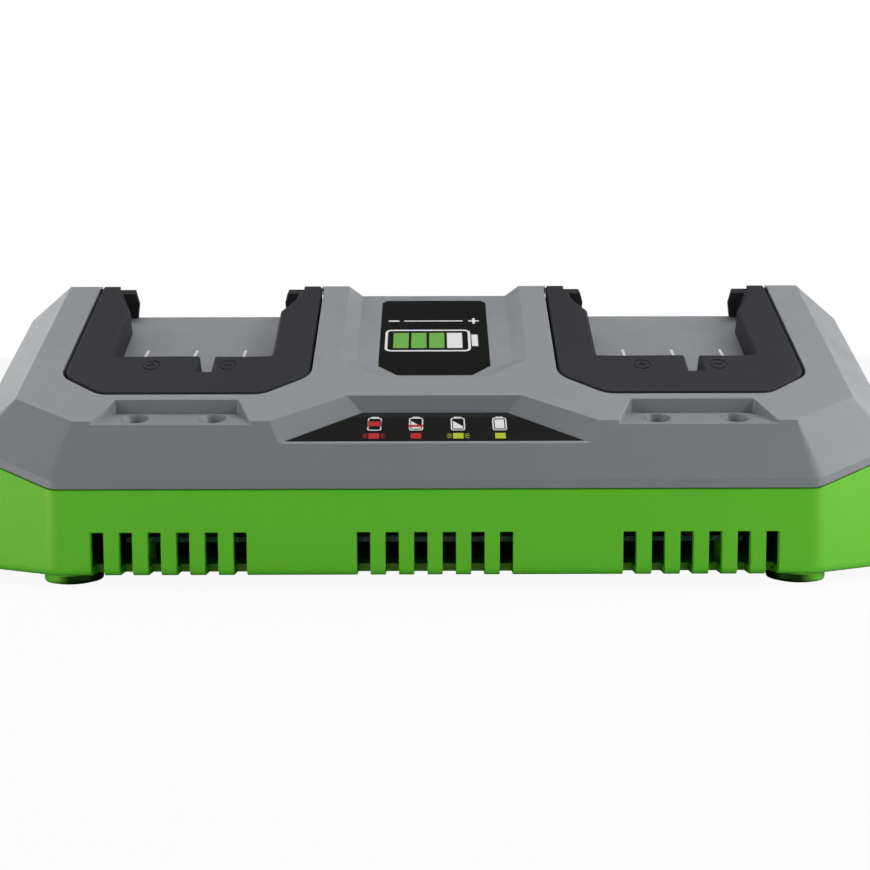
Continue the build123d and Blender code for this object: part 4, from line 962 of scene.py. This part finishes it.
@dataclass
class Stamp:
    """One colour of a print: closed outlines laid on a flat face as a thin film of ink."""

    name: str
    face: Flat
    finish: Finish
    lift: float = 0.02
    film: float = 0.03
    outlines: list[list[Point]] = field(default_factory=list)

    def patch(self, *corners: Point) -> "Stamp":
        """Adds a closed outline.

        Args:
            corners: corners in turn, in millimetres.

        Returns:
            The stamp itself.
        """
        self.outlines.append(list(corners))
        return self

    def bar(self, x0: float, y0: float, x1: float, y1: float) -> "Stamp":
        """Adds a straight bar.

        Args:
            x0: left side.
            y0: low side.
            x1: right side.
            y1: high side.

        Returns:
            The stamp itself.
        """
        return self.patch((x0, y0), (x1, y0), (x1, y1), (x0, y1))

    def outline(self, path: list[Point], width: float) -> "Stamp":
        """Adds a line of even width around a closed path, one patch for each run.

        Args:
            path: points of the path.
            width: width of the line.

        Returns:
            The stamp itself.
        """
        spots = [Vector(p) for p in path]
        count = len(spots)
        half = width / 2

        def edge(i: int, side: float) -> Point:
            """Mitred corner of the line at a point, on one side."""
            here = spots[i]
            coming = (here - spots[i - 1]).normalized()
            going = (spots[(i + 1) % count] - here).normalized()
            normals = [Vector((-run.y, run.x)) for run in (coming, going)]
            middle = (normals[0] + normals[1]).normalized()
            return tuple(here + middle * side / max(middle.dot(normals[0]), 0.4))

        for i in range(count):
            j = (i + 1) % count
            self.patch(edge(i, -half), edge(j, -half), edge(j, half), edge(i, half))
        return self

    def make(self) -> bpy.types.Object:
        """Builds the film of ink and rides it on the charger.

        Returns:
            The new piece.
        """
        shape = bmesh.new()
        for outline in self.outlines:
            area = sum(
                a[0] * b[1] - b[0] * a[1] for a, b in zip(outline, outline[1:] + outline[:1])
            )
            ring = outline if area > 0 else outline[::-1]
            corners = [shape.verts.new(self.face.at(x, y, self.lift)) for x, y in ring]
            face = shape.faces.new(corners)
            grown = bmesh.ops.extrude_face_region(shape, geom=[face])
            tops = [v for v in grown["geom"] if isinstance(v, bmesh.types.BMVert)]
            bmesh.ops.translate(shape, verts=tops, vec=self.face.normal * self.film * MM)
        bmesh.ops.recalc_face_normals(shape, faces=shape.faces)
        mesh = bpy.data.meshes.new(self.name)
        shape.to_mesh(mesh)
        shape.free()
        mesh.materials.append(self.finish.make())
        piece = bpy.data.objects.new(self.name, mesh)
        bpy.context.scene.collection.objects.link(piece)
        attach(piece, "charger")
        log.info("%s: %d printed patches", self.name, len(self.outlines))
        return piece


def rounded(
    x0: float, y0: float, x1: float, y1: float, corner: float, steps: int = 5
) -> list[Point]:
    """Outline of a rectangle with rounded corners.

    Args:
        x0: left side.
        y0: low side.
        x1: right side.
        y1: high side.
        corner: corner radius.
        steps: points along each corner.

    Returns:
        The points in turn.
    """
    points = []
    for cx, cy, start in (
        (x1 - corner, y1 - corner, 0.0),
        (x0 + corner, y1 - corner, 90.0),
        (x0 + corner, y0 + corner, 180.0),
        (x1 - corner, y0 + corner, 270.0),
    ):
        for i in range(steps + 1):
            angle = math.radians(start + 90.0 * i / steps)
            points.append((cx + corner * math.cos(angle), cy + corner * math.sin(angle)))
    return points


# ------------------------------------------------------------------ sub-assemblies
@dataclass
class SubAssembly:
    """Nodes that are built and dressed together."""

    def build(self) -> None:
        """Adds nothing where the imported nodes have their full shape."""
        log.info("%s: every piece comes from the packed model", type(self).__name__)

    def dress(self) -> None:
        """Gives the nodes their finishes; each sub-assembly has its own."""
        raise NotImplementedError


@dataclass
class Housing(SubAssembly):
    """Two shells, their feet and the screws that hold them together."""

    corners: tuple[str, ...] = ("front_left", "front_right", "rear_left", "rear_right")

    def dress(self) -> None:
        """Gives shells, feet and screws their finishes."""
        dress(GREY_SHELL, "top_housing")
        dress(GREEN_BASE, "base_housing")
        dress(FOOT_RUBBER, *[f"foot_{corner}" for corner in self.corners])
        dress(SCREW_STEEL, "housing_screws")


@dataclass
class BatteryBay(SubAssembly):
    """One bay: rail frame, terminal block, blades, charge lamps and their board."""

    side: str

    def dress(self) -> None:
        """Gives the bay's pieces their finishes."""
        dress(BLACK_FRAME, f"rail_frame_{self.side}")
        dress(BLOCK_PLASTIC, f"terminal_block_{self.side}")
        dress(BLADE_METAL, f"contact_blades_{self.side}")
        dress(SCREW_STEEL, f"rail_frame_screws_{self.side}")
        dress(RED_LENS, f"lamp_red_{self.side}")
        dress(GREEN_LENS, f"lamp_green_{self.side}")
        dress(BOARD, f"lamp_board_{self.side}")


@dataclass
class NamePlate(SubAssembly):
    """Black plate in the sunken centre panel, with a plain battery symbol.

    Places are in millimetres across and along the plate, from its start.
    """

    start: Place = (0.0, -11.089, 63.53)
    tilt: float = 28.0
    body_left: float = -16.6
    body_right: float = 12.2
    body_low: float = 18.3
    body_high: float = 33.4
    body_corner: float = 1.8
    line: float = 0.9
    knob_gap: float = 0.35
    knob_end: float = 15.2
    knob_share: float = 0.28
    cells: int = 4
    full_cells: int = 3
    cell_inset: float = 2.0
    cell_gap: float = 0.9
    rule_at: float = 40.6
    rule_ends: tuple[float, float] = (-10.6, 10.2)
    rule_half: float = 0.35
    minus_ends: tuple[float, float] = (-16.2, -12.4)
    plus_ends: tuple[float, float] = (12.2, 16.0)
    sign_half: float = 0.45
    plus_rise: float = 2.1
    seam: float = 0.05

    def battery(self, white: Stamp, green: Stamp) -> None:
        """Prints the battery symbol, with the last of its cells left empty.

        Args:
            white: print of the outline, the knob and the empty cell.
            green: print of the full cells.
        """
        low, high = self.body_low, self.body_high
        path = rounded(self.body_left, low, self.body_right, high, self.body_corner)
        white.outline(path, self.line)
        knob = (high - low) * self.knob_share
        middle = (low + high) / 2
        knob_start = self.body_right + self.line / 2 + self.knob_gap
        white.bar(knob_start, middle - knob, self.knob_end, middle + knob)
        cells_left = self.body_left + self.cell_inset
        pitch = (self.body_right - self.cell_inset - cells_left) / self.cells
        for i in range(self.cells):
            x = cells_left + i * pitch
            stamp = green if i < self.full_cells else white
            stamp.bar(
                x + self.cell_gap / 2,
                low + self.cell_inset,
                x + pitch - self.cell_gap / 2,
                high - self.cell_inset,
            )

    def signs(self, white: Stamp) -> None:
        """Prints the rule between a minus and a plus sign.

        Args:
            white: the white print.
        """
        y = self.rule_at
        for (left, right), half in (
            (self.rule_ends, self.rule_half),
            (self.minus_ends, self.sign_half),
            (self.plus_ends, self.sign_half),
        ):
            white.bar(left, y - half, right, y + half)
        middle = sum(self.plus_ends) / 2
        arm = self.sign_half + self.seam
        for low, high in ((y + arm, y + self.plus_rise), (y - self.plus_rise, y - arm)):
            white.bar(middle - self.sign_half, low, middle + self.sign_half, high)

    def build(self) -> None:
        """Prints the battery symbol, the rule and the plus and minus signs."""
        face = Flat.sloped(self.start, self.tilt)
        white = Stamp("name_plate_print_white", face, INK_WHITE)
        green = Stamp("name_plate_print_green", face, INK_GREEN)
        self.battery(white, green)
        self.signs(white)
        white.make()
        green.make()

    def dress(self) -> None:
        """Gives the plate its finish."""
        dress(LABEL_BLACK, "name_plate")


@dataclass
class LampLegend(SubAssembly):
    """Panel on the front edge that says what the charge lamps mean, in battery symbols.

    Places are in millimetres across and along the panel, from its start under the deck's
    front crease, and what stands in a battery is measured from the battery's own sides.
    """

    start: Place = (0.0, -33.918, 50.663)
    tilt: float = 30.5
    depth: float = 4.15
    centres: tuple[float, ...] = (-19.05, -5.9, 7.35, 20.55)
    battery_half: float = 2.05
    battery_low: float = 0.75
    battery_high: float = 7.4
    battery_corner: float = 0.7
    corner_steps: int = 3
    knob_half: float = 1.15
    knob_rise: float = 0.75
    line: float = 0.4
    bar_half: float = 1.65
    bar_low: float = -3.95
    bar_high: float = -0.95
    ray_gap: float = 0.45
    ray_length: float = 1.5
    ray_trim: float = 0.25
    ray_half: float = 0.14
    ray_near: float = 0.665
    ray_far: float = 1.1875
    fill_low: float = 0.8
    fill_margin: float = 0.1
    fill_drop_left: float = 1.6
    fill_drop_right: float = 4.6
    full_margin: float = 0.15
    band_reach: float = 0.6
    band_low: float = 1.7
    band_drop: float = 1.3
    waist_half: float = 0.9
    waist_pinch: float = 0.6
    strike_reach: float = 0.3
    strike_low: float = 1.7
    strike_high: float = 2.9
    strike_lift: float = 0.055

    @property
    def inner(self) -> float:
        """Half of the room inside a battery."""
        return self.battery_half - self.line

    def battery(self, white: Stamp, x: float) -> None:
        """Prints the outline of a battery.

        Args:
            white: the white print.
            x: centre of the symbol.
        """
        low, high, half = self.battery_low, self.battery_high, self.battery_half
        path = rounded(x - half, low, x + half, high, self.battery_corner, self.corner_steps)
        white.outline(path, self.line)
        knob_low = high + self.line * 0.3
        white.bar(x - self.knob_half, knob_low, x + self.knob_half, high + self.knob_rise)

    def lamp_bar(self, stamp: Stamp, x: float, flashing: bool = False) -> None:
        """Prints the bar that stands for a lamp, with rays where it flashes.

        Args:
            stamp: print in the lamp's colour.
            x: centre of the bar.
            flashing: whether rays stand on both sides.
        """
        stamp.bar(x - self.bar_half, self.bar_low, x + self.bar_half, self.bar_high)
        if not flashing:
            return
        middle = (self.bar_low + self.bar_high) / 2
        half = self.ray_half
        for side in (-1, 1):
            for lean in (-1, 0, 1):
                start = x + side * (self.bar_half + self.ray_gap)
                end = start + side * (self.ray_length - abs(lean) * self.ray_trim)
                near = middle + lean * self.ray_near
                far = middle + lean * self.ray_far
                stamp.patch(
                    (start, near - half), (end, far - half), (end, far + half), (start, near + half)
                )

    def fault(self, red: Stamp, x: float) -> None:
        """Prints a red band with a narrow waist across a battery.

        Args:
            red: the red print.
            x: centre of the symbol.
        """
        reach = self.inner + self.band_reach
        waist = self.waist_half
        low = self.battery_low + self.band_low
        high = self.battery_high - self.band_drop
        waist_low, waist_high = low + self.waist_pinch, high - self.waist_pinch
        red.patch(
            (x - reach, low), (x - waist, waist_low), (x + waist, waist_low), (x + reach, low),
            (x + reach, high), (x + waist, waist_high), (x - waist, waist_high), (x - reach, high),
        )

    def part_filled(self, white: Stamp, x: float) -> None:
        """Fills a battery in part, up to a slanting edge.

        Args:
            white: the white print.
            x: centre of the symbol.
        """
        half = self.inner - self.fill_margin
        low, high = self.battery_low + self.fill_low, self.battery_high
        white.patch(
            (x - half, low), (x + half, low),
            (x + half, high - self.fill_drop_right), (x - half, high - self.fill_drop_left),
        )

    def filled(self, white: Stamp, x: float) -> None:
        """Fills a battery.

        Args:
            white: the white print.
            x: centre of the symbol.
        """
        half = self.inner - self.full_margin
        low, high = self.battery_low + self.fill_low, self.battery_high - self.fill_low
        white.bar(x - half, low, x + half, high)

    def strike(self, red_line: Stamp, x: float) -> None:
        """Prints a red line through a battery.

        Args:
            red_line: the red print that lies over the white one.
            x: centre of the symbol.
        """
        reach = self.battery_half + self.strike_reach
        base = self.battery_low
        red_line.bar(x - reach, base + self.strike_low, x + reach, base + self.strike_high)

    def build(self) -> None:
        """Prints fault, too hot or cold, charging and full, each over its lamp bar."""
        face = Flat.sloped(self.start, self.tilt, self.depth)
        white = Stamp("legend_print_white", face, INK_WHITE)
        red = Stamp("legend_print_red", face, INK_RED)
        red_line = Stamp("legend_print_red_line", face, INK_RED, lift=self.strike_lift)
        lime = Stamp("legend_print_lime", face, INK_LIME)
        fault, hot, charging, full = self.centres
        for x in self.centres:
            self.battery(white, x)
        self.fault(red, fault)
        self.part_filled(white, hot)
        self.part_filled(white, charging)
        self.strike(red_line, hot)
        self.filled(white, full)
        self.lamp_bar(red, fault, flashing=True)
        self.lamp_bar(red, hot)
        self.lamp_bar(lime, charging, flashing=True)
        self.lamp_bar(lime, full)
        for stamp in (white, red, red_line, lime):
            stamp.make()

    def dress(self) -> None:
        """Gives the panel its finish."""
        dress(LABEL_BLACK, "legend_panel")


@dataclass
class PowerBoard(SubAssembly):
    """Main circuit board with everything that stands on it."""

    def dress(self) -> None:
        """Gives the board and its components their finishes."""
        dress(BOARD, "main_board")
        dress(SCREW_STEEL, "board_screws", "lamp_board_screws")
        dress(FERRITE, "transformer_core", "choke_core")
        dress(BOBBIN, "transformer_bobbin")
        dress(TAPE, "transformer_winding")
        dress(COPPER, "choke_windings")
        dress(CAN_SLEEVE, "bulk_capacitor", "output_capacitors")
        dress(FILM_BOX, "x_capacitor")
        dress(CHIP_EPOXY, "bridge_rectifier", "controller_chip", "power_transistors")
        dress(CHIP_EPOXY, "output_rectifiers")
        dress(SINK_METAL, "heat_sink_primary", "heat_sink_output")
        dress(NYLON, "lead_header_left", "lead_header_right")
        dress(FUSE_METAL, "fuse")


@dataclass
class CoolingFan(SubAssembly):
    """Fan behind the rear grille: frame, coil, rotor and screws."""

    def dress(self) -> None:
        """Gives the fan's pieces their finishes."""
        dress(FAN_PLASTIC, "fan_frame", "fan_rotor")
        dress(COPPER, "fan_coil")
        dress(SCREW_STEEL, "fan_screws")


@dataclass
class MainsSocket(SubAssembly):
    """Two-pole mains inlet in the rear wall, and the wires inside."""

    def dress(self) -> None:
        """Gives the inlet, its pins and all wires their finishes."""
        dress(INLET_PLASTIC, "mains_inlet")
        dress(PIN_METAL, "inlet_pins")
        dress(WIRE_RED, "bay_leads_left", "bay_leads_right", "mains_leads", "fan_leads")


# ------------------------------------------------------------------ studio
@dataclass(frozen=True)
class Softbox:
    """A rectangular soft light that looks at a point; sizes in metres, power in watts."""

    name: str
    place: Place
    width: float
    height: float
    power: float
    target: Place = (0.0, 0.0, 0.04)

    def make(self) -> None:
        """Adds the light to the scene."""
        data = bpy.data.lights.new(self.name, "AREA")
        data.shape = "RECTANGLE"
        data.size = self.width
        data.size_y = self.height
        data.energy = self.power
        lamp = bpy.data.objects.new(self.name, data)
        lamp.location = self.place
        aim = Vector(self.target) - Vector(self.place)
        lamp.rotation_mode = "QUATERNION"
        lamp.rotation_quaternion = aim.to_track_quat("-Z", "Y")
        bpy.context.scene.collection.objects.link(lamp)


@dataclass
class Studio:
    """White floor, soft lights and the camera.

    The camera stands in millimetres from the charger's origin and its angles are in degrees.
    """

    floor_half: float = 6.0
    floor_white: float = 0.62
    floor_glow: float = 0.94
    ambient: float = 0.06
    lens: float = 51.43
    camera_place: Place = (-1.01, -421.42, 75.08)
    pitch: float = 4.273
    yaw: float = 0.161
    roll: float = -0.134
    lights: tuple[Softbox, ...] = (
        Softbox("top_softbox", (0.0, 0.18, 1.3), 1.8, 0.3, 9.6, target=(0.0, 0.0, 0.05)),
        Softbox("right_softbox", (1.15, -0.35, 0.85), 0.7, 0.7, 6.0),
        Softbox("right_top", (0.85, 0.2, 1.05), 0.5, 0.5, 2.5),
        Softbox("left_softbox", (-1.15, -0.35, 0.85), 0.7, 0.7, 1.2),
        Softbox("left_rim", (-0.95, 0.8, 0.7), 0.7, 0.7, 3.3),
        Softbox("left_side", (-1.25, 0.4, 0.25), 0.5, 0.4, 5.5),
        Softbox("right_side", (1.25, 0.4, 0.3), 0.5, 0.4, 13.5),
        Softbox("left_low", (-1.1, -0.74, 0.13), 0.5, 0.22, 3.8),
        Softbox("right_low", (1.1, -0.74, 0.13), 0.5, 0.22, 2.6),
    )

    def floor(self) -> None:
        """Lays the white floor, which keeps a soft shadow of the charger."""
        mesh = bpy.data.meshes.new("studio_floor")
        h = self.floor_half
        mesh.from_pydata([(-h, -h, 0), (h, -h, 0), (h, h, 0), (-h, h, 0)], [], [(0, 1, 2, 3)])
        floor = bpy.data.objects.new("studio_floor", mesh)
        bpy.context.scene.collection.objects.link(floor)
        material = bpy.data.materials.new("studio_white")
        material.use_nodes = True
        tree = Tree(material.node_tree)
        shader = material.node_tree.nodes["Principled BSDF"]
        white = self.floor_white
        shader.inputs["Base Color"].default_value = (white, white, white, 1.0)
        shader.inputs["Roughness"].default_value = 0.9
        shader.inputs["Specular IOR Level"].default_value = 0.0
        glow = tree.add("Emission")
        glow.inputs["Color"].default_value = (1.0, 1.0, 1.0, 1.0)
        path = tree.add("LightPath")
        share = tree.math("MULTIPLY", path.outputs["Is Camera Ray"], self.floor_glow)
        mix = tree.add("MixShader")
        tree.join(share, mix.inputs[0])
        tree.join(shader.outputs[0], mix.inputs[1])
        tree.join(glow.outputs[0], mix.inputs[2])
        out = material.node_tree.nodes["Material Output"]
        tree.join(mix.outputs[0], out.inputs["Surface"])
        mesh.materials.append(material)

    def world(self) -> None:
        """Sets a white surround for camera and transmission rays, and a plain ambient level."""
        world = bpy.data.worlds.new("studio_world")
        bpy.context.scene.world = world
        world.use_nodes = True
        tree = Tree(world.node_tree)
        back = world.node_tree.nodes["Background"]
        back.inputs["Color"].default_value = (1.0, 1.0, 1.0, 1.0)
        path = tree.add("LightPath")
        seen = tree.math(
            "MAXIMUM", path.outputs["Is Camera Ray"], path.outputs["Is Transmission Ray"]
        )
        tree.join(tree.ramp(seen, 0.0, 1.0, self.ambient, 1.0), back.inputs["Strength"])

    def camera(self) -> None:
        """Sets the camera on the charger's front."""
        data = bpy.data.cameras.new("front_camera")
        data.sensor_width = 36.0
        data.lens = self.lens
        data.clip_start = 0.01
        data.clip_end = 50.0
        pitch, yaw, roll = (math.radians(a) for a in (self.pitch, self.yaw, self.roll))
        turn = Matrix.Rotation(-yaw, 3, "Z")
        right = Vector((1.0, 0.0, 0.0))
        up = Vector((0.0, math.sin(pitch), math.cos(pitch)))
        ahead = Vector((0.0, math.cos(pitch), -math.sin(pitch)))
        rolled_right = right * math.cos(roll) + up * math.sin(roll)
        rolled_up = up * math.cos(roll) - right * math.sin(roll)
        axes = [turn @ a for a in (rolled_right, rolled_up, -ahead)]
        camera = bpy.data.objects.new("front_camera", data)
        matrix = Matrix.Identity(4)
        for column, axis in enumerate(axes):
            for row in range(3):
                matrix[row][column] = axis[row]
        matrix.translation = Vector(self.camera_place) * MM
        camera.matrix_world = matrix
        bpy.context.scene.collection.objects.link(camera)
        bpy.context.scene.camera = camera

    def build(self) -> None:
        """Builds floor, world, lights and camera."""
        self.floor()
        self.world()
        for light in self.lights:
            light.make()
        self.camera()
        bpy.context.scene.view_settings.view_transform = "Standard"


def main() -> None:
    """Builds and dresses the charger, then the studio."""
    logging.basicConfig(level=logging.INFO, format="%(name)s: %(message)s")
    sub_assemblies = [
        Housing(),
        BatteryBay("left"),
        BatteryBay("right"),
        NamePlate(),
        LampLegend(),
        PowerBoard(),
        CoolingFan(),
        MainsSocket(),
    ]
    for sub_assembly in sub_assemblies:
        sub_assembly.build()
        sub_assembly.dress()
    Studio().build()


if __name__ == "__main__":
    main()
